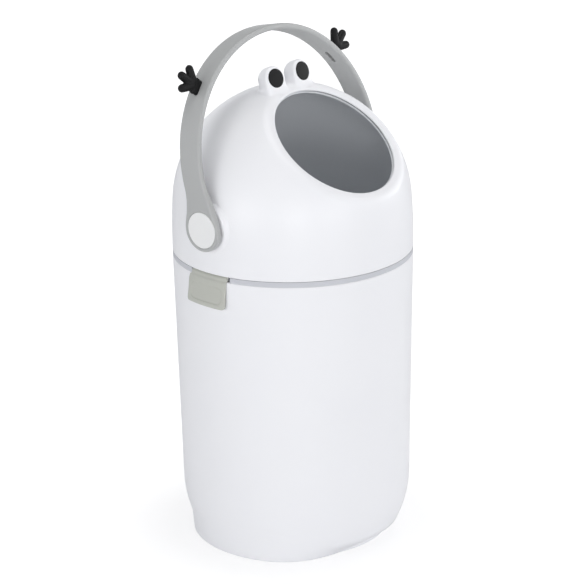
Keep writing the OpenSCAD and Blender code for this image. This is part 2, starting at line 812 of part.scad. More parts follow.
module finger(from, to) {
    v = to - from;
    translate([from[0], 0, from[1]]) rotate([0, atan2(v[0], v[1]), 0]) {
        cylinder(r = finger_r, h = norm(v), $fn = 48);
        translate([0, 0, norm(v)]) sphere(r = finger_r, $fn = 48);
        sphere(r = finger_r, $fn = 48);
    }
}

module hand() {
    at_axis() rotate([-lean, 0, 0]) {
        difference() {
            at_hand() {
                finger([0, 12], [0, 30]);
                for (s = [-1, 1]) finger([3.6 * s, 10], [12.6 * s, 22]);
                translate([0, hand_t / 2, 0]) rotate([90, 0, 0]) linear_extrude(height = hand_t) {
                    polygon([[-9.2, -3], [9.2, -3], [9.2, 2.4], [7.4, 6.4], [8.4, 16], [0, 23], [-8.4, 16],
                             [-7.4, 6.4], [-9.2, 2.4]]);
                }
            }
            translate([0, 20, bow_rise]) rotate([90, 0, 0]) cylinder(r = bow_in + bow_t + 0.1, h = 40, $fn = 180);
        }
        at_hand() translate([0, 0, 1 - hand_tang_l / 2 - 0.5]) {
            cube([hand_tang_w, hand_tang_t, hand_tang_l + 1], center = true);
        }
    }
}

module left_hand() {
    color(eye_black) on_side(-1) hand();
}

module right_hand() {
    color(eye_black) on_side(1) hand();
}

body_shell();
foot_ring();
bag_ring();
hinge_pin();
latch_pin();
latch_spring();
latch_lever();
lid_shell();
mouth_seal();
latch_keeper();
left_bush();
right_bush();
left_eye();
right_eye();
drum_bowl();
drum_mouth_ring();
left_shaft();
right_shaft();
handle();
left_hub_screw();
right_hub_screw();
left_hub_cap();
right_hub_cap();
left_hand();
right_hand();
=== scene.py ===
# %% [markdown]
# # A nappy bin, dressed in Blender
#
# The bin's solids come from CAD: a round body, a domed lid with a tilted opening, a ball-shaped
# drum behind it and a carrying handle that turns the drum. They arrive here as a fixed frame with
# its own moving bodies. This script gives the visible pieces the soft transitions of real
# injection mouldings, worked out as surfaces on numpy grids, and gives every piece its plastic.

# %% Load the frame
import math

import bpy
import bmesh
import numpy as np
from mathutils import Matrix


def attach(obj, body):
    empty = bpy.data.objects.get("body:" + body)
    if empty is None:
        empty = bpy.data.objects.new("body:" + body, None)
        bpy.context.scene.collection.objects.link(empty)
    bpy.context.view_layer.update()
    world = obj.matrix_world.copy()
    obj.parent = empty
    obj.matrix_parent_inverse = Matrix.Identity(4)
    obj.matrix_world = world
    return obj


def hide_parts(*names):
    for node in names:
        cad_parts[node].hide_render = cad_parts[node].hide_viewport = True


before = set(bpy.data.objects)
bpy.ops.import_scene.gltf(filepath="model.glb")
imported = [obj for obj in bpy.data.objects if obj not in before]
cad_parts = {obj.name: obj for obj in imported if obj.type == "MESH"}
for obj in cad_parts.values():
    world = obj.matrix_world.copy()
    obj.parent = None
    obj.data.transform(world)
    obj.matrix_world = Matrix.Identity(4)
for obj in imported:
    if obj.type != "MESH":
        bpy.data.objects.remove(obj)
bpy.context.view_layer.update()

# %% [markdown]
# ## The camera
#
# A product photograph taken with a long lens from the left of the bin, a little above it. The
# place and direction were worked out from the picture: the rings of the body are circles, so
# their ellipses give the tilt, and the seam, the mouth and the handle fix the distance.

# %% Camera
MM = 0.001
PLACE = np.array([-2110.0, -1967.6, 1284.8])
FORWARD = np.array([0.69115, 0.64490, -0.32622])
ROLL, LENS, SENSOR, PIXELS = -0.0167, 160.26, 36.0, 585


def camera_axes(forward, roll):
    """Level right and up vectors across the view direction, both turned by the roll angle."""
    right = np.cross(forward, [0, 0, 1.0])
    right /= np.linalg.norm(right)
    up = np.cross(right, forward)
    return right * math.cos(roll) + up * math.sin(roll), -right * math.sin(roll) + up * math.cos(roll)


right, up = camera_axes(FORWARD / np.linalg.norm(FORWARD), ROLL)
camera = bpy.data.objects.new("camera", bpy.data.cameras.new("camera"))
camera.data.lens, camera.data.sensor_width, camera.data.clip_end = LENS, SENSOR, 100.0
camera.data.shift_x, camera.data.shift_y = -0.5 / PIXELS, 0.5 / PIXELS
pose = np.eye(4)
pose[:3, 0], pose[:3, 1], pose[:3, 2], pose[:3, 3] = right, up, np.cross(right, up), PLACE * MM
camera.matrix_world = Matrix(pose.tolist())
bpy.context.scene.collection.objects.link(camera)
bpy.context.scene.camera = camera
print("camera:", round(float(np.linalg.norm(PLACE))), "mm from the middle of the bin's foot")

# %% [markdown]
# ## From arrays to meshes
#
# Nearly every piece here is a moulding whose shape is a function of two parameters, so it is
# computed as one grid of points. The grid is a sheet of quads: its rows or columns may close on
# themselves, and a row that shrinks to one point becomes a pole when the doubles are merged.

# %% Grid to mesh
def new_object(name, verts, faces):
    """A mesh object at the origin from arrays of points in millimetres and of faces, all smooth."""
    mesh = bpy.data.meshes.new(name)
    verts, faces = np.asarray(verts, float) * MM, np.asarray(faces)
    size = faces.shape[1]
    mesh.vertices.add(len(verts))
    mesh.vertices.foreach_set("co", verts.astype(np.float32).ravel())
    mesh.loops.add(faces.size)
    mesh.loops.foreach_set("vertex_index", faces.astype(np.int32).ravel())
    mesh.polygons.add(len(faces))
    mesh.polygons.foreach_set("loop_start", np.arange(0, faces.size, size, dtype=np.int32))
    mesh.polygons.foreach_set("use_smooth", np.ones(len(faces), bool))
    mesh.update(calc_edges=True)
    obj = bpy.data.objects.new(name, mesh)
    bpy.context.scene.collection.objects.link(obj)
    return obj


def grid(name, points, wrap_rows=False, wrap_columns=False):
    """Cell (i, j) of the grid of points is the quad of its four neighbours; a wrapped side joins its last
    line to its first. Points closer than 2 micrometres merge, which closes seams and poles, and the faces of
    the closed shell turn outwards."""
    points = np.asarray(points, float)
    rows, columns = points.shape[:2]
    cells = np.arange(rows - (not wrap_rows)), np.arange(columns - (not wrap_columns))
    i, j = np.meshgrid(*cells, indexing="ij")
    corner = lambda di, dj: ((i + di) % rows) * columns + (j + dj) % columns
    faces = np.stack([corner(0, 0), corner(1, 0), corner(1, 1), corner(0, 1)], -1).reshape(-1, 4)
    return tidy_mesh(new_object(name, points.reshape(-1, 3), faces))


def tidy_mesh(obj, merge=0.002):
    """Merges doubles, drops what they leave empty and turns the closed shell's faces outwards."""
    work = bmesh.new()
    work.from_mesh(obj.data)
    bmesh.ops.remove_doubles(work, verts=work.verts, dist=merge * MM)
    bmesh.ops.dissolve_degenerate(work, edges=work.edges, dist=merge * MM / 4)
    bmesh.ops.recalc_face_normals(work, faces=work.faces)
    work.to_mesh(obj.data)
    work.free()
    return obj


def step(x, a, b):
    """A soft step: 0 below a, 1 above b, and t*t*(3 - 2t) between, with t the share of the way."""
    t = np.clip((x - a) / (b - a), 0, 1)
    return t * t * (3 - 2 * t)


def arc(centre, radius, start, end, count):
    """Points on a circle: the centre plus the radius times (cosine, sine) of the angles from start to end,
    given in degrees."""
    a = np.radians(np.linspace(start, end, count))
    return np.stack([centre[0] + radius * np.cos(a), centre[1] + radius * np.sin(a)], -1)


# %% [markdown]
# ## Plastics
#
# The real bin is all polypropylene and ABS. The white shells are gloss mouldings from a polished
# mould, which gives a clear but soft reflection; the grey pieces come from a finely spark-eroded
# mould, which gives a satin skin; the hands and eyes are black ABS. The grain of such a skin is
# 0.1 to 0.3 mm, finer than a pixel here, so it is drawn at about a millimetre and kept shallow.

# %% Materials
DRIFT, WEAR, SPREAD, BUMP = 0.09, 0.035, 0.06, 0.5


def linear(hexcode):
    """sRGB to linear light: c / 12.92 below 0.04045, else ((c + 0.055) / 1.055) to the power 2.4."""
    c = np.array([int(hexcode[k : k + 2], 16) for k in (1, 3, 5)]) / 255
    return (*np.where(c <= 0.04045, c / 12.92, ((c + 0.055) / 1.055) ** 2.4), 1.0)


def add(tree, kind, settings=None, **links):
    """Adds one node of this kind, sets its settings and inputs, and joins the links, given as input name =
    output socket."""
    node = tree.nodes.new(kind)
    for key, value in (settings or {}).items():
        if isinstance(key, int) or key in node.inputs:
            node.inputs[key].default_value = value
        else:
            setattr(node, key, value)
    for key, socket in links.items():
        tree.links.new(socket, node.inputs[key.replace("_", " ")])
    return node


def plastic(name, light, dark, roughness, grain_mm, grain_depth, specular=0.5):
    """A moulded plastic: slow drifts of colour a hand's width across, a skin of fine grain as bump, and a
    roughness that varies a little where the moulding has been touched."""
    made = bpy.data.materials.new(name)
    made.use_nodes = True
    tree = made.node_tree
    shader = tree.nodes["Principled BSDF"]
    place = add(tree, "ShaderNodeTexCoord").outputs["Object"]
    drift = add(tree, "ShaderNodeTexNoise", {"Scale": 1 / DRIFT, "Detail": 2.0}, Vector=place).outputs["Fac"]
    tint = add(tree, "ShaderNodeMix", {"data_type": "RGBA", 6: linear(light), 7: linear(dark)}, Factor=drift)
    tree.links.new(tint.outputs[2], shader.inputs["Base Color"])
    wear = add(tree, "ShaderNodeTexNoise", {"Scale": 1 / WEAR, "Detail": 3.0}, Vector=place).outputs["Fac"]
    ends = {"To Min": roughness - SPREAD, "To Max": roughness + SPREAD}
    rough = add(tree, "ShaderNodeMapRange", ends, Value=wear)
    tree.links.new(rough.outputs["Result"], shader.inputs["Roughness"])
    skin = add(tree, "ShaderNodeTexNoise", {"Scale": 1 / (grain_mm * MM), "Detail": 2.0}, Vector=place)
    depth = {"Strength": BUMP, "Distance": grain_depth * MM}
    bump = add(tree, "ShaderNodeBump", depth, Height=skin.outputs["Fac"])
    tree.links.new(bump.outputs["Normal"], shader.inputs["Normal"])
    shader.inputs["IOR"].default_value = 1.5
    shader.inputs["Specular IOR Level"].default_value = specular
    return made


white_pp = plastic("white_gloss_polypropylene", "#f1f1f3", "#eeeef1", 0.34, 1.2, 0.012)
ring_pp = plastic("light_grey_satin_polypropylene", "#c9cacf", "#c4c5cb", 0.5, 1.0, 0.02)
# The drum's grey is written much lighter than the mid grey it really is: painted light that stands in for the
# light its hollow inside does not get.
drum_pp_painted_light = plastic("mid_grey_satin_polypropylene_painted_lighter", "#dddfe2", "#d9dbde", 0.5, 1.0, 0.03)
handle_pp = plastic("warm_grey_satin_polypropylene", "#b1b2b1", "#adaeae", 0.5, 1.0, 0.03)
tab_pp = plastic("stone_grey_satin_polypropylene", "#bdbeb6", "#b9bab2", 0.52, 1.0, 0.03)
cap_pp = plastic("white_satin_polypropylene", "#ececeb", "#e9e9e9", 0.45, 1.0, 0.015)
seal_tpe = plastic("grey_soft_elastomer", "#77787c", "#6f7075", 0.7, 1.0, 0.05)
# A fine-grained matt black reflects about half of what a polished plastic does.
black_abs = plastic("black_satin_abs", "#111112", "#0e0e0f", 0.55, 0.9, 0.03, specular=0.25)


def drawn_steel(name):
    """Drawn wire and pin steel: a metal with fine streaks, made of noise stretched tenfold along Y."""
    made = bpy.data.materials.new(name)
    made.use_nodes = True
    tree = made.node_tree
    shader = tree.nodes["Principled BSDF"]
    place = add(tree, "ShaderNodeTexCoord").outputs["Object"]
    stretch = add(tree, "ShaderNodeMapping", {"Scale": (1.0, 0.1, 1.0)}, Vector=place)
    grain = {"Scale": 1 / (0.6 * MM), "Detail": 2.0}
    streak = add(tree, "ShaderNodeTexNoise", grain, Vector=stretch.outputs["Vector"])
    rough = add(tree, "ShaderNodeMapRange", {"To Min": 0.25, "To Max": 0.42}, Value=streak.outputs["Fac"])
    tree.links.new(rough.outputs["Result"], shader.inputs["Roughness"])
    shader.inputs["Base Color"].default_value = linear("#c3c5c8")
    shader.inputs["Metallic"].default_value = 1.0
    return made


steel = drawn_steel("drawn_spring_steel")


def finish_piece(obj, material, body, slot, *nodes):
    """Gives a new piece its material and its CAD body, and hides the CAD nodes it stands for. The slot
    argument is not used.
    """
    obj.data.materials.clear()
    obj.data.materials.append(material)
    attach(obj, body)
    if nodes:
        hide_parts(*nodes)
    print(obj.name, len(obj.data.polygons), "faces on", body)


CAD_PIECES = [
    (white_pp, ["body_shell", "foot_ring", "lid_shell"]),
    (ring_pp, ["bag_ring", "left_bush", "right_bush", "left_shaft", "right_shaft"]),
    (drum_pp_painted_light, ["drum_bowl", "drum_mouth_ring"]),
    (handle_pp, ["handle"]),
    (tab_pp, ["latch_lever"]),
    (cap_pp, ["left_hub_cap", "right_hub_cap"]),
    (seal_tpe, ["mouth_seal"]),
    (black_abs, ["left_eye", "right_eye", "left_hand", "right_hand"]),
    (steel, ["hinge_pin", "latch_pin", "latch_spring", "latch_keeper", "left_hub_screw", "right_hub_screw"]),
]
for material, nodes in CAD_PIECES:
    for node in nodes:
        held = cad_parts[node]
        held.data.materials.clear()
        held.data.materials.append(material)
print("CAD pieces with a material:", sum(len(nodes) for _, nodes in CAD_PIECES))

# %% [markdown]
# ## The body
#
# The body is one moulding: a slightly tapered tube with a rounded lower end, out of which a
# skirt grows that stands on the floor. Round the back and sides the skirt flares up into the
# wall; in front it is flattened and dies away low down, so the seam between the two forms is a
# wave. Revolving a profile can't give that, so the wall is a function of the angle and the height:
# the tube's radius, or the skirt's where that is larger, with the corner between them softened.

# %% Body
BODY_R, BODY_H, TAPER, TURN_Z = 140.0, 343.6, 5.0, 70.0
LONG_R, SHORT_R, BASE_Z, WALL = 130.0, 24.0, 5.0, 3.0
FOOT_R, FOOT_FLAT, FLAT_SPAN = 124.6, 21.6, 64.0
CREST_LOW, CREST_HIGH, CREST_BACK, CREASE, FADE = 7.0, 40.0, 20.0, 0.25, 0.35
RIM_OUT, RIM_IN, RIM_STEP, FOOT_WALL = 1.2, 1.0, 8.0, 4.0


def tube_radius(z):
    """The wall's radius: straight above TURN_Z, then a long arc, then a short one tangent to it down to the
    underside."""
    turn_r = BODY_R - TAPER
    sine = (TURN_Z - BASE_Z - SHORT_R) / (LONG_R - SHORT_R)
    short_x = turn_r - LONG_R + (LONG_R - SHORT_R) * math.sqrt(1 - sine * sine)
    straight = turn_r + TAPER * (z - TURN_Z) / (BODY_H - TURN_Z)
    long_arc = turn_r - LONG_R + np.sqrt(np.maximum(LONG_R**2 - (TURN_Z - z) ** 2, 0))
    short_arc = short_x + np.sqrt(np.maximum(SHORT_R**2 - (BASE_Z + SHORT_R - z) ** 2, 0))
    return np.where(z > TURN_Z, straight, np.where(z > TURN_Z - LONG_R * sine, long_arc, short_arc))


def floor_radius(a):
    """The skirt's outline on the floor: a circle, pulled in towards the front by a cosine bell that is
    FLAT_SPAN degrees wide on each side."""
    return FOOT_R - np.where(a < FLAT_SPAN, FOOT_FLAT * (1 + np.cos(np.pi * a / FLAT_SPAN)) / 2, 0)


def crest_height(a):
    """Where skirt and tube meet: low in front, high at the sides, lower again behind, with half cosines
    between."""
    wave = lambda start, end: (1 - np.cos(np.pi * np.clip((a - start) / (end - start), 0, 1))) / 2
    return CREST_LOW + (CREST_HIGH - CREST_LOW) * wave(8, 70) - (CREST_HIGH - CREST_BACK) * wave(92, 145)


def wall_radius(angle, z):
    """The tube's radius plus a soft maximum of 0 and the skirt's lead d over it, (d + sqrt(d*d + k*k)) / 2
    with k = CREASE. Above the crest half of what the soft maximum leaves there is taken off again."""
    a = np.abs((np.degrees(angle) + 180) % 360 - 180)
    crest, floor = crest_height(a), floor_radius(a)
    top = tube_radius(crest)
    skirt = floor + (top - floor) * z / crest
    tube = tube_radius(np.maximum(z, BASE_Z + 0.6))
    lead = np.where(z < crest, skirt - tube, -FADE * (z - crest))
    k = CREASE
    rest = k * k / (2 * (np.abs(lead) + k)) * (z > crest) * 0.5
    return tube + (lead + np.sqrt(lead * lead + k * k)) / 2 - rest


def around_z(radius, angle, z):
    """Points at this radius and height, with the angle counted from the front (-Y) towards +X."""
    radius, angle, z = np.broadcast_arrays(radius, angle, z)
    return np.stack([radius * np.sin(angle), -radius * np.cos(angle), z], -1)


turn = np.linspace(0, 2 * np.pi, 288, endpoint=False)[:, None]
z_top = BODY_H - np.array([5, 3, 2, 1.5, RIM_OUT])
z_wall = np.concatenate([np.linspace(0, 60, 101), np.linspace(64, BODY_H - 9, 30), z_top])[None, :]
outside = around_z(wall_radius(turn, z_wall), turn, z_wall)
lip = np.concatenate([arc((BODY_R - RIM_OUT, BODY_H - RIM_OUT), RIM_OUT, 0, 90, 5),
                      arc((BODY_R - WALL + RIM_IN, BODY_H - RIM_IN), RIM_IN, 90, 180, 4)])
rim = around_z(lip[None, :, 0], turn, lip[None, :, 1])
z_in = np.linspace(BODY_H - RIM_STEP, BASE_Z + WALL + 2, 40)[None, :]
inside = around_z(tube_radius(z_in) - WALL, turn, z_in)
floor_share = np.linspace(1, 0, 8)[None, :]
inner_floor = around_z(floor_share * (tube_radius(BASE_Z + WALL + 2.0) - WALL - 3), turn, BASE_Z + WALL)
foot = floor_radius(np.abs((np.degrees(turn) + 180) % 360 - 180)) - FOOT_WALL
underside = np.concatenate([around_z(radius, turn, z) for radius, z in (
    (0 * turn, BASE_Z), (foot - 1, BASE_Z), (foot, 0.4), (foot + 0.4, 0), (foot + 3.4, 0))], axis=1)
body_rows = np.concatenate([underside, outside, rim, inside, inner_floor], axis=1)
body = grid("body_moulding", body_rows, wrap_rows=True)
finish_piece(body, white_pp, "bin", "white_shell", "body_shell", "foot_ring")

# %% [markdown]
# The lid's hinge is two lugs on the body, one knuckle on the lid and a steel pin. Each is a plate
# with the pin's boss as its round end, so one outline serves, carried along the pin's axis.

# %% Hinge lugs and knuckle
HINGE_X, HINGE_Z, HINGE_R, HINGE_HALF, KNUCKLE_HALF, HINGE_GAP = 145.3, 346.6, 4.5, 24.0, 13.6, 0.4
LEG, LEG_OUT, LUG_SINK, LID_LOW = 27.0, 3.2, 1.5, 349.6


def plate(name, outline, y0, y1, edge=0.7):
    """A closed outline in X and Z carried along Y from y0 to y1; its two faces are inset by the edge's width
    over three steps of a quarter circle, which rounds the rim, and close on the outline's middle."""
    outline = np.asarray(outline, float)
    ahead, behind = np.roll(outline, -1, 0), np.roll(outline, 1, 0)
    along = ahead - behind
    normal = np.stack([along[:, 1], -along[:, 0]], -1)
    normal /= np.maximum(np.linalg.norm(normal, axis=1, keepdims=True), 1e-9)
    area = 0.5 * np.sum(outline[:, 0] * ahead[:, 1] - ahead[:, 0] * outline[:, 1])
    normal *= np.sign(area)
    middle = outline.mean(0)
    centre = lambda y: np.tile([middle[0], y, middle[1]], (len(outline), 1))
    steps = [math.radians(a) for a in (0, 30, 60, 90)]
    quarter = [(edge * (1 - math.cos(a)), edge * (1 - math.sin(a))) for a in steps]
    rows = [(y0 + depth, inset) for depth, inset in quarter]
    rows += [(y1 - depth, inset) for depth, inset in quarter[::-1]]
    loops = []
    for y, inset in rows:
        line = outline - normal * inset
        loops.append(np.stack([line[:, 0], np.full(len(outline), y), line[:, 1]], 1))
    return grid(name, np.stack([centre(y0), *loops, centre(y1)]), wrap_columns=True)


def smooth_outline(points, spacing=0.8, passes=10):
    """Walks a closed polygon at an even spacing and then averages each point with its neighbours a few
    times, which rounds its corners."""
    points = np.asarray(points, float)
    closed = np.vstack([points, points[:1]])
    length = np.concatenate([[0], np.cumsum(np.linalg.norm(np.diff(closed, axis=0), axis=1))])
    at = np.linspace(0, length[-1], int(length[-1] / spacing), endpoint=False)
    walked = np.stack([np.interp(at, length, closed[:, k]) for k in (0, 1)], -1)
    for _ in range(passes):
        walked = (np.roll(walked, 1, 0) + 2 * walked + np.roll(walked, -1, 0)) / 4
    return walked


lug = smooth_outline(np.vstack([
    [(BODY_R - LUG_SINK, BODY_H - 0.3), (BODY_R + 0.8, BODY_H - 0.3)],
    arc((HINGE_X, HINGE_Z), HINGE_R, 180, -20, 24),
    [(HINGE_X + LEG_OUT, BODY_H - 5), (BODY_R - LUG_SINK, BODY_H - LEG)],
]))
knuckle = smooth_outline(np.vstack([
    [(BODY_R - LUG_SINK, LID_LOW + 0.3), (BODY_R + 0.5, LID_LOW + 0.2)],
    arc((HINGE_X, HINGE_Z), HINGE_R, 180, 380, 24),
    [(HINGE_X + LEG_OUT, LID_LOW + 6), (BODY_R - LUG_SINK - 0.3, LID_LOW + LEG)],
]))
LUG_WIDE = HINGE_HALF - KNUCKLE_HALF - HINGE_GAP
for name, y0 in (("hinge_lug_front", -HINGE_HALF), ("hinge_lug_back", KNUCKLE_HALF + HINGE_GAP)):
    finish_piece(plate(name, lug, y0, y0 + LUG_WIDE), white_pp, "bin", "white_shell")
knuckle_plate = plate("hinge_knuckle", knuckle, -KNUCKLE_HALF, KNUCKLE_HALF)
finish_piece(knuckle_plate, white_pp, "lid", "white_shell")

# %% [markdown]
# ## The latch
#
# The latch is a lever: a curved tab outside, pressed at its lower end, and a hook inside that holds
# the lid's keeper, both on one pin. The tab follows the body's cylinder and flares out downwards,
# with a shallow recess for the thumb. Row by row it is a closed loop: the front with its recess, a
# round edge, the back, and the other edge.

# %% Latch tab
# Each table gives a measure at rising heights. Right and left are as seen by a person who faces the tab.
TAB_LOW, TAB_CORNER, TAB_EDGE, RING_TOP = 310.6, 4.6, 0.9, 349.4
FACE = np.array([(TAB_LOW, 144.4), (TAB_LOW + 1.5, 144.6), (BODY_H - 1.6, 141.4), (BODY_H + 0.6, 140.2),
                 (RING_TOP - 1.9, 139.95), (RING_TOP - 0.9, 139.0), (RING_TOP - 0.3, 138.2)])
BACK = np.array([(TAB_LOW, 141.6), (BODY_H + 0.2, 140.3), (BODY_H + 0.7, 138.0), (RING_TOP, 137.7)])
RIGHT = np.array([(TAB_LOW, -24.6), (BODY_H - 4, -25.4), (RING_TOP, -26.6)])
LEFT = np.array([(TAB_LOW, 35.6), (TAB_LOW + 14, 34.6), (BODY_H - 6, 34.3), (BODY_H - 1.2, 32.6),
                 (BODY_H, 29.9), (RING_TOP, 29.9)])
THUMB_Y, THUMB_HALF, THUMB_R, THUMB_DEEP = 4.6, 25.0, 6.5, 0.9
THUMB_LOW, THUMB_TOP = TAB_LOW + 4.6, BODY_H - 7.5


def recess(y, z):
    """Depth of the thumb recess: a rounded rectangle's distance function, softened into a step just over a
    millimetre wide."""
    dy = np.abs(y - THUMB_Y) - (THUMB_HALF - THUMB_R)
    dz = np.abs(z - (THUMB_LOW + THUMB_TOP) / 2) - ((THUMB_TOP - THUMB_LOW) / 2 - THUMB_R)
    gap = np.hypot(np.maximum(dy, 0), np.maximum(dz, 0)) + np.minimum(np.maximum(dy, dz), 0) - THUMB_R
    return THUMB_DEEP * (1 - step(gap, -1.2, 0))


def quarter_fall(x, radius):
    """How far a quarter circle of this radius has still to rise at the distance x from where it starts."""
    return radius - np.sqrt(np.maximum(radius**2 - (radius - np.clip(x, 0, radius)) ** 2, 0))


z_tab = np.concatenate([
    TAB_LOW + TAB_EDGE * (1 - np.cos(np.radians(np.linspace(0, 90, 6)))),
    np.linspace(TAB_LOW + 1.3, BODY_H - 2, 90),
    BODY_H + np.array([-1.4, -0.8, -0.2, 0.2, 0.6, 1.2, 2.5, 3.9]),
    RING_TOP - np.array([1.4, 0.9, 0.5, 0.3]),
])
side_from, side_to = np.interp(z_tab, *RIGHT.T), np.interp(z_tab, *LEFT.T)
middle = (side_from + side_to) / 2
half_y = (side_to - side_from) / 2 - quarter_fall(z_tab - TAB_LOW, TAB_CORNER)
bottom = quarter_fall(z_tab - TAB_LOW, TAB_EDGE)
front_r, back_r = np.interp(z_tab, *FACE.T) - bottom, np.interp(z_tab, *BACK.T) + bottom * 0.6
corner = [(TAB_EDGE * (1 - math.sin(a)), TAB_EDGE * (1 - math.cos(a))) for a in np.radians([20, 45, 70, 90])]
across_front = [middle + t * (half_y - TAB_EDGE) for t in np.linspace(-1, 1, 120)]
loop = [(y, front_r - recess(y, z_tab)) for y in across_front]
loop += [(middle + half_y - inset, front_r - depth) for inset, depth in corner]
loop += [(middle + t * (half_y - 0.05), back_r) for t in np.linspace(1, -1, 60)]
loop += [(middle - half_y + inset, front_r - depth) for inset, depth in corner[::-1]]
tab_y, tab_r = np.stack([y for y, _ in loop], 1), np.stack([r for _, r in loop], 1)
ends = [np.full((1, len(loop)), (front_r[row] + back_r[row]) / 2) for row in (0, -1)]
tab_r = np.vstack([ends[0], tab_r, ends[1]])
tab_y = np.vstack([tab_y[:1], tab_y, tab_y[-1:]])
tab_z = np.concatenate([z_tab[:1], z_tab, z_tab[-1:]])[:, None] + 0 * tab_y
tab = grid("latch_tab", np.stack([-np.sqrt(tab_r**2 - tab_y**2), tab_y, tab_z], -1), wrap_columns=True)
finish_piece(tab, tab_pp, "latch", "grey_tab", "latch_lever")

# %% [markdown]
# The hook is a plate again: it stands behind the tab and bends out over the keeper. The lever's
# barrel shows in three lengths, and between them are the two lugs that hold its pin.

# %% Latch hook and barrels
PIN_X, PIN_Z, BARREL_R, FINE_EDGE = 136.2, 346.6, 2.4, 0.4
HOOK_HALF, HOOK_X, HOOK_T, KEEPER_TOP = 9.5, 134.5, 2.0, BODY_H + 11.1
BARRELS = [("front", -20.8, -18.65), ("middle", -13.9, 13.9), ("back", 18.65, 20.8)]
hook = smooth_outline([
    (-PIN_X - 1, PIN_Z), (-HOOK_X + HOOK_T, PIN_Z + 0.6), (-HOOK_X + HOOK_T, KEEPER_TOP + 4),
    (-HOOK_X - 0.4, KEEPER_TOP + 4), (-HOOK_X - HOOK_T, KEEPER_TOP + 2.4),
    (-HOOK_X - HOOK_T, KEEPER_TOP + 1.4), (-HOOK_X, KEEPER_TOP + 0.3),
    (-HOOK_X, PIN_Z + BARREL_R), (-PIN_X - 1, PIN_Z + BARREL_R),
], 0.4, 3)
finish_piece(plate("latch_hook", hook, -HOOK_HALF, HOOK_HALF, FINE_EDGE), tab_pp, "latch", "grey_tab")
barrel = arc((-PIN_X, PIN_Z), BARREL_R, 0, 352, 45)
for name, y0, y1 in BARRELS:
    finish_piece(plate("latch_barrel_" + name, barrel, y0, y1, FINE_EDGE), tab_pp, "latch", "grey_tab")

# %% [markdown]
# ## The lid
#
# The lid is a dome on a straight band, cut by a tilted plane for the mouth, and its lip rolls over
# a generous radius into the opening. Everything near the mouth is round about the mouth's axis,
# and everything near the seam is round about the upright axis. So the skin is drawn on rays from
# the dome's centre: they fan out from the mouth's axis, and each stops where it meets the seam.

# %% Lid
AXIS_Z, DOME_R, ELEVATION = 402.5, 138.6, math.radians(51.1)
MOUTH_R, LIP_H, LIP_ROLL, LIP_EDGE, LIP_BACK, INNER_MOUTH = 75.7, 108.2, 15.0, 1.6, 100.0, 87.0
SEAM_OUT, SEAM_IN, RIDGE = 1.0, 0.8, 0.004
BULGE_Z = LID_LOW + 15.4
BULGE_R = ((BODY_R**2 - DOME_R**2) + (AXIS_Z - BULGE_Z) ** 2) / (2 * (BODY_R - DOME_R))
MOUTH = np.array([0, -math.cos(ELEVATION), math.sin(ELEVATION)])
RISE = np.array([0, math.sin(ELEVATION), math.cos(ELEVATION)])
SIDE = np.array([1.0, 0, 0])


def dome_reach(sine, inset=0.0):
    """How far the lid's wall is from the dome's centre along a ray whose rise has this sine: the dome's
    radius, or the near-flat bulge's circle, or the upright band, whichever the ray meets; each is brought in
    by the inset."""
    sine = np.asarray(sine, float)
    cosine = np.sqrt(1 - sine**2)
    to_x, to_z = BODY_R - BULGE_R, BULGE_Z - AXIS_Z
    along = cosine * to_x + sine * to_z
    bulge = along + np.sqrt(np.maximum((BULGE_R - inset) ** 2 - (to_x**2 + to_z**2 - along**2), 0))
    band = (BODY_R - inset) / np.maximum(cosine, 1e-6)
    low = AXIS_Z + bulge * sine < BULGE_Z
    tangent = (AXIS_Z - BULGE_Z) / (BULGE_R - DOME_R)
    return np.where(sine > tangent, DOME_R - inset, np.where(low, band, bulge))


def spoke(theta):
    """Unit vectors square to the mouth's axis, at the angle theta round it from the top of the mouth."""
    return np.cos(theta)[..., None] * RISE + np.sin(theta)[..., None] * SIDE


def fan(theta, psi):
    """Unit rays at the angle psi from the mouth's axis: cos(psi) * axis + sin(psi) * spoke."""
    return np.cos(psi)[..., None] * MOUTH + np.sin(psi)[..., None] * spoke(theta)


def seam_angle(theta, radius, z):
    """The angle psi at which the ray has the rise of the rim point (radius, z). The rise is a cosine wave
    in psi, so psi = phase + arccos(rise / amplitude)."""
    rise = (z - AXIS_Z) / math.hypot(radius, z - AXIS_Z)
    b = RISE[2] * np.cos(theta)
    return np.arctan2(b, MOUTH[2]) + np.arccos(rise / np.hypot(MOUTH[2], b))


def skin(theta, start, end, inset, count):
    """The lid's wall from the angle start to the angle end on each ray of the fan, as a grid."""
    t = np.linspace(0, 1, count)[None, :]
    psi = start * (1 - t) + end * t
    rays = fan(np.broadcast_to(theta, psi.shape), psi)
    return rays * dome_reach(rays[..., 2], inset)[..., None] + [0, 0, AXIS_Z]


def mouth_ring(theta, profile):
    """A profile of (distance from the mouth's axis, distance along it) carried round that axis."""
    return profile[None, :, :1] * spoke(theta) + profile[None, :, 1:] * MOUTH + [0, 0, AXIS_Z]


theta = np.linspace(0, 2 * np.pi, 300, endpoint=False)[:, None]
roll_q = math.sqrt((DOME_R - LIP_ROLL) ** 2 - (LIP_H - LIP_ROLL) ** 2)
roll_end = math.degrees(math.atan2(LIP_H - LIP_ROLL, roll_q))
lip_profile = np.vstack([
    [(MOUTH_R + 9, LIP_BACK), (MOUTH_R + 1.2, LIP_H - 3.0), (MOUTH_R, LIP_H - 2.0)],
    arc((MOUTH_R + LIP_EDGE, LIP_H - LIP_EDGE), LIP_EDGE, 180, 90, 8),
    arc((roll_q, LIP_H - LIP_ROLL), LIP_ROLL, 90, roll_end, 16),
])
lid_lip = mouth_ring(theta, lip_profile)
lip_end = np.full_like(theta, math.atan2(roll_q, LIP_H - LIP_ROLL) + RIDGE)
seam = seam_angle(theta, BODY_R, LID_LOW + SEAM_OUT)
outer = skin(theta, lip_end, seam, 0, 130)
end_ray = fan(theta, seam)[:, 0]
heading = np.arctan2(end_ray[:, 0], -end_ray[:, 1])[:, None]
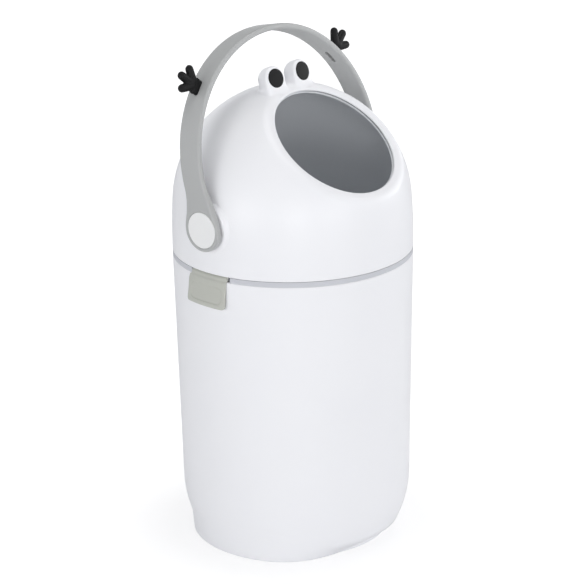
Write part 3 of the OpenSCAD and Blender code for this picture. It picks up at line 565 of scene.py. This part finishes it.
edge = np.vstack([arc((BODY_R - SEAM_OUT, LID_LOW + SEAM_OUT), SEAM_OUT, -15, -90, 5),
                  arc((BODY_R - WALL + SEAM_IN, LID_LOW + SEAM_IN), SEAM_IN, 270, 180, 4)])
lid_edge = around_z(edge[None, :, 0], heading, edge[None, :, 1])
inner_seam = seam_angle(theta, BODY_R - WALL, LID_LOW + 2 * SEAM_IN)
inner = skin(theta, inner_seam, np.full_like(theta, math.asin(INNER_MOUTH / (DOME_R - WALL))), WALL, 60)
lid_rows = np.concatenate([lid_lip, outer, lid_edge, inner], axis=1)
lid = grid("lid_moulding", lid_rows, wrap_rows=True, wrap_columns=True)
finish_piece(lid, white_pp, "lid", "white_shell", "lid_shell")

# %% [markdown]
# The drum's mouth ring is a slice of a hollow ball that ends just under the lid's lip. A shadow gap
# separates the two, and the ring's rounded edge catches the light as a thin line. It is one more
# profile carried round the mouth's axis.

# %% Drum mouth ring
DRUM_R, DRUM_T, DRUM_MOUTH, JOINT_H, RING_EDGE = 129.5, 2.5, 75.3, 36.0, 1.2


def ball_rows(radius, q0, q1, count):
    """Points of a circle about the centre, from the distance q0 to q1 from the axis. The height of each
    along the axis is h = sqrt(radius**2 - q**2)."""
    a = np.linspace(math.asin(q0 / radius), math.asin(q1 / radius), count)
    return np.stack([radius * np.sin(a), radius * np.cos(a)], -1)


inner_r = DRUM_R - DRUM_T
rim_h = math.sqrt(DRUM_R**2 - (DRUM_MOUTH + RING_EDGE) ** 2) - RING_EDGE
ring_profile = np.vstack([
    ball_rows(inner_r, math.sqrt(inner_r**2 - JOINT_H**2), DRUM_MOUTH + 0.5, 40),
    [(DRUM_MOUTH + 0.1, math.sqrt(inner_r**2 - DRUM_MOUTH**2) + 0.4)],
    arc((DRUM_MOUTH + RING_EDGE, rim_h), RING_EDGE, 180, 60, 9),
    ball_rows(DRUM_R, DRUM_MOUTH + 2 * RING_EDGE, math.sqrt(DRUM_R**2 - JOINT_H**2), 40),
])
ring_rows = mouth_ring(theta, ring_profile)
drum_ring = grid("drum_ring_moulding", ring_rows, wrap_rows=True, wrap_columns=True)
finish_piece(drum_ring, drum_pp_painted_light, "drum", "grey_drum", "drum_mouth_ring")

# %% [markdown]
# Under each hub of the handle the lid carries a low round boss whose foot flares out into the
# dome. Its height above the dome's surface falls off with a soft step of the radius.

# %% Hub bosses
BOSS_X, BOSS_R, BOSS_FOOT, BOSS_SINK, BOSS_WALL = 139.9, 26.0, 31.5, 0.25, 2.5


def hub_boss(name, side):
    """At the radius r from the pivot, X goes from the boss's flat face to the dome's surface along a soft
    step, and the foot's end sinks just under that."""
    r = np.concatenate([[0, 8, 16], np.linspace(22, BOSS_FOOT + 1.5, 34)])[None, :]
    a = np.linspace(0, 2 * np.pi, 120, endpoint=False)[:, None]
    y, z = r * np.cos(a), r * np.sin(a)
    sine = z / DOME_R
    reach = dome_reach(sine)
    dome_x = np.sqrt(np.maximum((reach * np.sqrt(1 - sine**2)) ** 2 - y**2, 0))
    share = step(r, BOSS_R - 1.5, BOSS_FOOT)
    x = BOSS_X * (1 - share) + dome_x * share - BOSS_SINK * step(r, BOSS_FOOT - 1, BOSS_FOOT + 1)
    back = np.stack([x - BOSS_WALL, y, z], -1)[:, ::-1]
    points = np.concatenate([np.stack([x, y, z], -1), back], axis=1) * [side, 1, 1] + [0, 0, AXIS_Z]
    return grid(name, points, wrap_rows=True)


for name, side in (("left_hub_boss", -1), ("right_hub_boss", 1)):
    finish_piece(hub_boss(name, side), white_pp, "lid", "white_shell")

# %% [markdown]
# Two bumps carry the eyes: flat in front, round behind, and grown out of the dome with a fillet.
# Seen from the middle of its ball, each bump is star-shaped: one distance for every direction.
# The distance is a soft minimum of the round outline and the flat front.

# %% Eye bumps
EYE_X, EYE_Y, EYE_Z = 22.2, 1.2, AXIS_Z + DOME_R + 11.2
TILT, SPLAY = math.radians(18.3), math.radians(4.3)
BUMP_R, BUMP_D, BUMP_P = 14.6, 9.3, 6.5
WALL_ROWS, APRON_ROWS, APRON_CLEAR, APRON_SINK, PLUG = 80, 30, 3.5, 0.3, 1.8


def eye_axes(side):
    """The disc's outward normal, its level direction and its upward direction."""
    flat = math.cos(TILT)
    out = np.array([side * math.sin(SPLAY) * flat, -math.cos(SPLAY) * flat, math.sin(TILT)])
    level = np.cross([0, 0, 1.0], out)
    level /= np.linalg.norm(level)
    return out, level, np.cross(out, level)


def bump_reach(a, b, c):
    """Distance to the bump along the ray (a level, b upwards, c outwards): round above, straight-sided below,
    a ball behind, a flat front at BUMP_D, joined by the soft minimum (d1**-p + d2**-p)**(-1/p)."""
    side = BUMP_R / np.maximum(np.sqrt(a**2 + np.maximum(b, 0) ** 2 + np.minimum(c, 0) ** 2), 1e-4)
    front = BUMP_D / np.maximum(c, 1e-4)
    return (side**-BUMP_P + front**-BUMP_P) ** (-1 / BUMP_P)


def lid_gap(points):
    """Height of points over the lid: over the ball of the dome, over the ring of the rolled lip where the
    direction from the ring's own circle lies between that ball and the mouth's axis, or over the flat of the
    lip."""
    v = points - [0, 0, AXIS_Z]
    h = v @ MOUTH
    q = np.sqrt(np.maximum(np.sum(v * v, -1) - h * h, 0))
    dq, dh = q - roll_q, h - (LIP_H - LIP_ROLL)
    heading = np.degrees(np.arctan2(dh, dq))
    ball = np.linalg.norm(v, axis=-1) - DOME_R
    roll = np.where(heading < roll_end, ball, np.hypot(dq, dh) - LIP_ROLL)
    return np.where(dh < 0, ball, np.where(dq < 0, h - LIP_H, roll))


def onto(points, gap, level=0.0, steps=14):
    """Moves points onto the surface where the gap function has this level: each step goes back along the
    function's slope by gap / slope, with the slope from differences of 0.05 mm."""
    for _ in range(steps):
        here = gap(points) - level
        slope = np.stack([gap(points + d) - level - here for d in 0.05 * np.eye(3)], -1) / 0.05
        points = points - (here / np.maximum(np.sum(slope * slope, -1), 0.1))[..., None] * slope
    return points


def eye_bump(name, side, blend=6.0, apron=13.0):
    """Rows run from the bump's top down its wall to the foot, then out over the lid on an apron. All are
    moved onto the soft union of bump and lid, min(a, b) - blend/4 * (1 - |a - b|/blend)**2 near the corner.
    The apron keeps clear of the mouth's rim, and its end sinks under the lid's skin and closes below it."""
    out, level, rise = eye_axes(side)
    centre = np.array([side * EYE_X, EYE_Y, EYE_Z]) - BUMP_D * out
    heading = np.linspace(0, 2 * np.pi, 160, endpoint=False)[:, None]

    def wall(polar):
        """Points of the bump by the angle from its upward axis and the heading round that axis."""
        a, c = np.sin(polar) * np.cos(heading), np.sin(polar) * np.sin(heading)
        b = np.cos(polar) + 0 * heading
        ray = a[..., None] * level + b[..., None] * rise + c[..., None] * out
        return centre + bump_reach(a, b, c)[..., None] * ray

    def union(points):
        """Distance to the soft union of bump and lid."""
        v = points - centre
        d = np.maximum(np.linalg.norm(v, axis=-1), 1e-3)
        bump = d - bump_reach(v @ level / d, v @ rise / d, v @ out / d)
        lid_side = lid_gap(points)
        near = np.maximum(blend - np.abs(bump - lid_side), 0) / blend
        return np.minimum(bump, lid_side) - near**2 * blend / 4

    low, high = np.full_like(heading, math.radians(92)), np.full_like(heading, math.radians(172))
    for _ in range(40):
        middle = (low + high) / 2
        above = lid_gap(wall(middle)) > 0
        low, high = np.where(above, middle, low), np.where(above, high, middle)
    foot = wall(low)
    sides = wall(low * np.linspace(0, 1, WALL_ROWS)[None, :])
    away = foot - foot.mean(0)
    away /= np.linalg.norm(away, axis=-1, keepdims=True)
    out_by = np.linspace(0, apron, APRON_ROWS + 1)[1:]
    v = foot + away * out_by[:, None] - [0, 0, AXIS_Z]
    along = (v @ MOUTH)[..., None] * MOUTH
    from_axis = np.linalg.norm(v - along, axis=-1, keepdims=True)
    pushed = (v - along) * np.maximum(1, (MOUTH_R + APRON_CLEAR) / from_axis) + along + [0, 0, AXIS_Z]
    shell = onto(np.concatenate([sides, onto(pushed, lid_gap)], axis=1), union)
    sink = APRON_SINK * step(out_by, apron - 5, apron)
    shell[:, WALL_ROWS:] = onto(shell[:, WALL_ROWS:], lambda p: union(p) + sink)
    hub = foot.mean((0, 1))
    inwards = hub + (shell[:, -1:] - hub) * np.linspace(1, 0, 8)[None, :, None]
    return grid(name, np.concatenate([shell, onto(inwards, lid_gap, -PLUG)], axis=1), wrap_rows=True)


for name, side in (("left", -1), ("right", 1)):
    finish_piece(eye_bump(name + "_eye_bump", side), white_pp, "lid", "white_shell")

# %% [markdown]
# The eyes are black buttons with a softly rounded rim and a face that is very slightly crowned.

# %% Eyes
EYE_R, EYE_EDGE, EYE_CROWN, EYE_SINK = 11.1, 1.0, 0.45, 2.6


def eye_button(name, side):
    """A profile carried round the disc's normal: the crown falls off with the square of the radius, then a
    small arc."""
    out, level, rise = eye_axes(side)
    centre = np.array([side * EYE_X, EYE_Y, EYE_Z])
    r = np.linspace(0, EYE_R - EYE_EDGE, 16)
    face = np.stack([r, 1.0 - EYE_CROWN * (r / EYE_R) ** 2], -1)
    rim = arc((EYE_R - EYE_EDGE, face[-1, 1] - EYE_EDGE), EYE_EDGE, 80, 0, 6)
    profile = np.vstack([face, rim, [(EYE_R, -EYE_SINK), (0, -EYE_SINK)]])
    a = np.linspace(0, 2 * np.pi, 96, endpoint=False)[:, None, None]
    ring = np.cos(a) * level + np.sin(a) * rise
    return grid(name, centre + profile[None, :, :1] * ring + profile[None, :, 1:] * out, wrap_rows=True)


for name, side in (("left", -1), ("right", 1)):
    finish_piece(eye_button(name + "_eye_button", side), black_abs, "lid", "black_trim", name + "_eye")

# %% [markdown]
# ## The handle
#
# The handle is one bow: a band that widens into a round hub at each end. Unrolled, it is a flat
# strip, so the outline is a width on each side of a centre line, and the bow bends that strip up
# one leg, over a half circle and down the other. The hubs are thicker than the band, the rims are
# rounded, and the recess for the cap and the slots for the hands are cut out at the end.

# %% Handle
LEAN, BOW_IN, BOW_T, BOW_RISE, BOW_WIDER = math.radians(12.0), 140.6, 6.9, 56.5, 1.25
HUB_R, HUB_T, EDGE_R = 25.3, 8.9, 2.5
FRONT_EDGE = np.array([(-6, 24.3), (7, 23.8), (14, 22.4), (25, 20.4), (35, 17.5), (44, 15.5), (56, 14.4),
                       (70, 14.2), (110, 13.8), (180, 13.7), (600, 13.9)])
BACK_EDGE = np.array([(-6, 25.3), (4, 24.9), (9, 23.7), (14, 21.6), (20, 19.2), (26, 17.6), (34, 16.2),
                      (44, 15.8), (66, 16.4), (110, 17.6), (180, 18.0), (240, 17.4), (300, 16.8),
                      (600, 16.8)])
STRIP = 2 * BOW_RISE + math.pi * (BOW_IN + BOW_T / 2)
SET_BACK = np.array([(-25, 1.1), (10, 1.2), (45, 1.4), (235, 1.3), (STRIP / 2, 0.8)])


def half_width(u, table):
    """Width on one side at the distance u from the hub's middle: the table's line, averaged over a few
    millimetres, and inside the hub's lower half the circle sqrt(R*R - u*u)."""
    fine = np.arange(-40, 600, 0.5)
    line = np.interp(fine, table[:, 0], table[:, 1])
    bell = np.hanning(21)
    line = np.convolve(np.pad(line, 10, mode="edge"), bell / bell.sum(), mode="valid")
    circle = np.sqrt(np.maximum(HUB_R**2 - np.clip(u, -HUB_R, 0) ** 2, 0))
    return np.minimum(np.interp(u, fine, line), np.where(u < 0, circle, 1e3))


def bow_place(u, n, h):
    """Bends the strip: u along it, n across it (towards the back), h its height over the inner face. Above
    the hubs the radius grows by BOW_WIDER. Then the whole bow leans back."""
    half_turn = np.clip((u - BOW_RISE) / (BOW_IN + BOW_T / 2), 0, np.pi)
    beyond = np.where(u < BOW_RISE, u, np.where(u > STRIP - BOW_RISE, STRIP - u, BOW_RISE))
    radius = BOW_IN + h + BOW_WIDER * step(beyond, 15, 60)
    x = -radius * np.cos(half_turn)
    s = beyond + radius * np.sin(half_turn)
    y = s * math.sin(LEAN) + n * math.cos(LEAN)
    z = AXIS_Z + s * math.cos(LEAN) - n * math.sin(LEAN)
    return np.stack([x, y, z], -1)


ends = -HUB_R * np.cos(np.linspace(0, np.pi / 2, 26))
run = np.concatenate([ends[:-1], np.linspace(0, 60, 61), np.linspace(63, STRIP / 2, 70)])
u = np.concatenate([run, STRIP - run[::-1][1:]])
mirrored = np.minimum(u, STRIP - u)
front, back = half_width(mirrored, FRONT_EDGE), half_width(mirrored, BACK_EDGE)
thick = BOW_T + (HUB_T - BOW_T) * step(-mirrored, -46, -20)
quarter = np.radians(np.linspace(0, 90, 7))


def inset_outline(u, n, amount):
    """Moves the outline inwards along its own normal, which is square to the line's direction (du, dn)."""
    du, dn = np.gradient(u), np.gradient(n)
    size = np.maximum(np.hypot(du, dn), 1e-9)
    return u + dn / size * amount, n - du / size * amount


def side_rows(sign, width):
    """One side of the section, from the inner face to the outer one: two quarter circles of radius EDGE_R."""
    lower, upper = [], []
    for a in quarter:
        uu, nn = inset_outline(u, width, EDGE_R * (1 - math.sin(a)))
        depth = EDGE_R * (1 - np.cos(a))
        lower.append((uu, sign * np.maximum(nn, 0), depth + 0 * u))
        upper.append((uu, sign * np.maximum(nn, 0), thick - depth))
    return lower + upper[::-1]


section = side_rows(-1, front) + side_rows(1, back)[::-1]
shift = np.interp(mirrored, *SET_BACK.T)
points = np.stack([bow_place(uu, nn + shift, hh) for uu, nn, hh in section], 1)
bow = grid("carrying_handle", points, wrap_columns=True)
print("bow strip", round(STRIP), "mm long")


def bake(obj):
    """Puts in place of the piece's mesh what its modifiers make of it."""
    flat = bpy.data.meshes.new_from_object(obj.evaluated_get(bpy.context.evaluated_depsgraph_get()))
    obj.modifiers.clear()
    obj.data = flat
    return flat


def cut(obj, *cutters):
    """Takes the cutters' solids out of the piece with exact booleans, and removes them."""
    for cutter in cutters:
        tool = obj.modifiers.new("cut", "BOOLEAN")
        tool.operation, tool.object, tool.solver = "DIFFERENCE", cutter, "EXACT"
    bake(obj)
    for cutter in cutters:
        bpy.data.objects.remove(cutter)


def round_plug(name, radius, x0, x1, count=96):
    """A closed round plug along X at the pivot, used as a cutter."""
    a = np.linspace(0, 2 * np.pi, count, endpoint=False)[:, None]
    profile = np.array([(0, x0), (radius, x0), (radius, x1), (0, x1)], float)
    ring = np.stack([0 * a, np.cos(a), np.sin(a)], -1)
    points = profile[None, :, :1] * ring + profile[None, :, 1:] * [1, 0, 0] + [0, 0, AXIS_Z]
    return grid(name, points, wrap_rows=True)


HAND_ANGLES, HAND_BACK = {-1: math.radians(41.2), 1: math.radians(40.5)}, 4.7
SLOT_L, SLOT_W, SLOT_UP, SLOT_DOWN = 19.0, 5.6, 4, 12
CAP_R, CAP_ROOM, CAP_SEAT, CAP_END = 20.9, 0.35, 147.0, 152.0


def hand_frame(side):
    """Origin on the bow's outer face, and its axes: along the bow, across it, and away from it."""
    away_x, away_s = side * math.cos(HAND_ANGLES[side]), math.sin(HAND_ANGLES[side])
    sine, cosine = math.sin(LEAN), math.cos(LEAN)
    lean = lambda x, n, s: np.array([x, s * sine + n * cosine, s * cosine - n * sine])
    radius = BOW_IN + BOW_T + BOW_WIDER
    origin = lean(radius * away_x, HAND_BACK, BOW_RISE + radius * away_s) + [0, 0, AXIS_Z]
    return origin, lean(-side * away_s, 0, side * away_x), lean(0, 1, 0), lean(away_x, 0, away_s)


def slot_shape(name, side):
    """A flat bar with round ends, through the band: an oblong outline carried along the hand's own axis."""
    origin, along, across, away = hand_frame(side)
    r = SLOT_W / 2
    outline = np.vstack([arc((SLOT_L / 2 - r, 0), r, -90, 90, 13), arc((-SLOT_L / 2 + r, 0), r, 90, 270, 13)])
    ring = outline[:, :1] * along + outline[:, 1:] * across
    top, bottom = origin + SLOT_UP * away, origin - SLOT_DOWN * away
    rows = [top + 0 * ring, top + ring, bottom + ring, bottom + 0 * ring]
    return grid(name, np.stack(rows), wrap_columns=True)


cut(bow, round_plug("right_seat", CAP_R + CAP_ROOM, CAP_SEAT, CAP_END),
    round_plug("left_seat", CAP_R + CAP_ROOM, -CAP_END, -CAP_SEAT),
    slot_shape("right_slot", 1), slot_shape("left_slot", -1))
# The cuts' edges stay sharp in the shading, and the rest is smooth.
bow.data.shade_smooth()
bow.data.set_sharp_from_angle(angle=math.radians(38))
finish_piece(bow, handle_pp, "drum", "grey_handle", "handle")

# %% [markdown]
# ## The hands
#
# Each hand is a small solid moulding: a palm that stands on the bow and three round fingers with
# soft webs between them. The fingers and the palm are tapered round bars, fused by remeshing them
# into one skin, and smoothed until the webs look moulded.

# %% Hands
FINGERS = [((0, 0, 12), (0, 0, 28.4), 5.3, 4.9), ((-3.2, 0, 11), (-12.4, 0, 21.6), 5.3, 4.8),
           ((3.2, 0, 11), (12.4, 0, 21.6), 5.3, 4.8)]
PALM = [((-5.6, 0, 1.5), (6.2, 0, 1.5), 3.6, 3.6), ((-5.4, 0, 6.0), (5.4, 0, 6.0), 4.6, 4.6),
        ((-4.4, 0, 12.5), (4.4, 0, 12.5), 5.2, 5.2)]
HAND_FLAT, VOXEL = 0.92, 0.55


def round_bar(p, q, r0, r1, count=28):
    """A bar from p to q whose radius goes from r0 to r1, closed by half balls, as a grid of points."""
    p, q = np.asarray(p, float), np.asarray(q, float)
    along = (q - p) / np.linalg.norm(q - p)
    side = np.cross(along, [0, 1.0, 0])
    side /= np.linalg.norm(side)
    other = np.cross(along, side)
    low, high = np.radians(np.linspace(-90, 0, 8)), np.radians(np.linspace(0, 90, 8))
    length = np.linalg.norm(q - p)
    s = np.concatenate([r0 * np.sin(low), length + r1 * np.sin(high)])
    r = np.concatenate([r0 * np.cos(low), r1 * np.cos(high)])
    a = np.linspace(0, 2 * np.pi, count, endpoint=False)[:, None, None]
    return p + s[None, :, None] * along + r[None, :, None] * (np.cos(a) * side + np.sin(a) * other)


def hand(name, side):
    """The bars in the hand's own frame, fused on a fine voxel grid, smoothed, flattened a little and set on
    the bow."""
    origin, along, across, away = hand_frame(side)
    work = bmesh.new()
    for bar_sizes in FINGERS + PALM:
        bar = grid(name + "_bar", round_bar(*bar_sizes), wrap_rows=True)
        work.from_mesh(bar.data)
        bpy.data.objects.remove(bar)
    mesh = bpy.data.meshes.new(name)
    work.to_mesh(mesh)
    work.free()
    obj = bpy.data.objects.new(name, mesh)
    bpy.context.scene.collection.objects.link(obj)
    fuse = obj.modifiers.new("fuse", "REMESH")
    fuse.mode, fuse.voxel_size = "VOXEL", VOXEL * MM
    soften = obj.modifiers.new("soften", "SMOOTH")
    soften.factor, soften.iterations = 0.6, 14
    flat = bake(obj)
    co = np.zeros(len(flat.vertices) * 3, np.float32)
    flat.vertices.foreach_get("co", co)
    co = co.reshape(-1, 3).astype(float) / MM
    placed = origin + co[:, :1] * along + co[:, 1:2] * HAND_FLAT * across + co[:, 2:] * away
    flat.vertices.foreach_set("co", (placed * MM).astype(np.float32).ravel())
    flat.update()
    obj.data.shade_smooth()
    return tidy_mesh(obj)


for name, side in (("left", -1), ("right", 1)):
    finish_piece(hand(name + "_toy_hand", side), black_abs, "drum", "black_trim", name + "_hand")

# %% [markdown]
# ## Floor and light
#
# A seamless white sweep: the floor lights the bin as a pale matt card does. What the camera sees of
# it is greyer and glows, more so away from the bin, so it reads as white and still shows the bin's
# shadow.

# %% Floor
FLOOR_HALF = 6000


def camera_sees(tree, seen, others, output):
    """Rays from the camera meet the shader seen, and all other rays meet the shader others."""
    pick = add(tree, "ShaderNodeMixShader", Fac=add(tree, "ShaderNodeLightPath").outputs["Is Camera Ray"])
    tree.links.new(others.outputs[0], pick.inputs[1])
    tree.links.new(seen.outputs[0], pick.inputs[2])
    add(tree, output, Surface=pick.outputs["Shader"])


corners = np.array([(-1, -1, 0), (1, -1, 0), (1, 1, 0), (-1, 1, 0)]) * FLOOR_HALF
floor = new_object("studio_floor", corners, [[0, 1, 2, 3]])
card = bpy.data.materials.new("white_card")
card.use_nodes = True
tree = card.node_tree
tree.nodes.clear()
matt = add(tree, "ShaderNodeBsdfDiffuse", {"Color": linear("#f4f4f5")})
veil = add(tree, "ShaderNodeBsdfDiffuse", {"Color": linear("#a0a0a2")})
far = add(tree, "ShaderNodeVectorMath", {"operation": "LENGTH"},
          Vector=add(tree, "ShaderNodeTexCoord").outputs["Object"])
rising = {"From Min": 0.15, "From Max": 0.34, "To Min": 0.72, "To Max": 0.96}
rise = add(tree, "ShaderNodeMapRange", rising, Value=far.outputs["Value"])
glow = add(tree, "ShaderNodeEmission", {"Color": linear("#ffffff")}, Strength=rise.outputs["Result"])
lift = add(tree, "ShaderNodeAddShader")
tree.links.new(veil.outputs["BSDF"], lift.inputs[0])
tree.links.new(glow.outputs["Emission"], lift.inputs[1])
camera_sees(tree, lift, matt, "ShaderNodeOutputMaterial")
floor.data.materials.append(card)
print("floor:", 2 * FLOOR_HALF * MM, "m square")

# %% [markdown]
# The camera sees a white room. To the light the room is bright up to the horizon and dims towards
# the ceiling, so that it fills the bin's sides softly and leaves its upper faces to the lamps.

# %% Surroundings
world = bpy.data.worlds.new("studio")
bpy.context.scene.world = world
world.use_nodes = True
tree = world.node_tree
tree.nodes.clear()
aim = add(tree, "ShaderNodeSeparateXYZ", Vector=add(tree, "ShaderNodeTexCoord").outputs["Generated"])
falling = {"From Max": 0.7, "To Min": 1.55, "To Max": 0.1}
fade = add(tree, "ShaderNodeMapRange", falling, Value=aim.outputs["Z"])
ambient = add(tree, "ShaderNodeBackground", {"Color": linear("#f6f8fb")}, Strength=fade.outputs["Result"])
shown = add(tree, "ShaderNodeBackground", {"Color": (1, 1, 1, 1), "Strength": 1.0})
camera_sees(tree, shown, ambient, "ShaderNodeOutputWorld")
print("world:", world.name)

# %% [markdown]
# Five soft boxes: three low ones stand round the camera's side of the bin, one on its right, and
# one hangs overhead. They are large, so that the gloss shells mirror them without hard edges.

# %% Lights
# Name, place, height of the point on the axis that it faces and edge length in metres, power in watts.
BOXES = [
    ("front_box", (-2.0, -2.22, 0.2), 0.35, 1.2, 15),
    ("right_box", (-0.37, -2.98, 0.3), 0.35, 1.2, 11),
    ("left_box", (-2.95, 0.15, 0.4), 0.35, 1.2, 15),
    ("side_box", (2.6, -1.35, 0.92), 0.3, 1.4, 13),
    ("top_box", (0.2, -0.2, 3.0), 0.3, 2.2, 36),
]


def softbox(name, place, aim, size, power):
    """A square area lamp, turned so that its face looks at the bin's axis at the height aim."""
    lamp = bpy.data.lights.new(name, "AREA")
    lamp.shape, lamp.size, lamp.energy = "SQUARE", size, power
    obj = bpy.data.objects.new(name, lamp)
    look = np.array(place) - [0, 0, aim]
    look /= np.linalg.norm(look)
    side = np.cross([0, 0, 1.0], look)
    side /= np.linalg.norm(side)
    turned = np.eye(4)
    turned[:3] = np.stack([side, np.cross(look, side), look, place], -1)
    obj.matrix_world = Matrix(turned.tolist())
    bpy.context.scene.collection.objects.link(obj)


for box in BOXES:
    softbox(*box)
print("lights:", len(BOXES), "with", sum(box[-1] for box in BOXES), "W")

bpy.context.scene.view_settings.view_transform = "Standard"
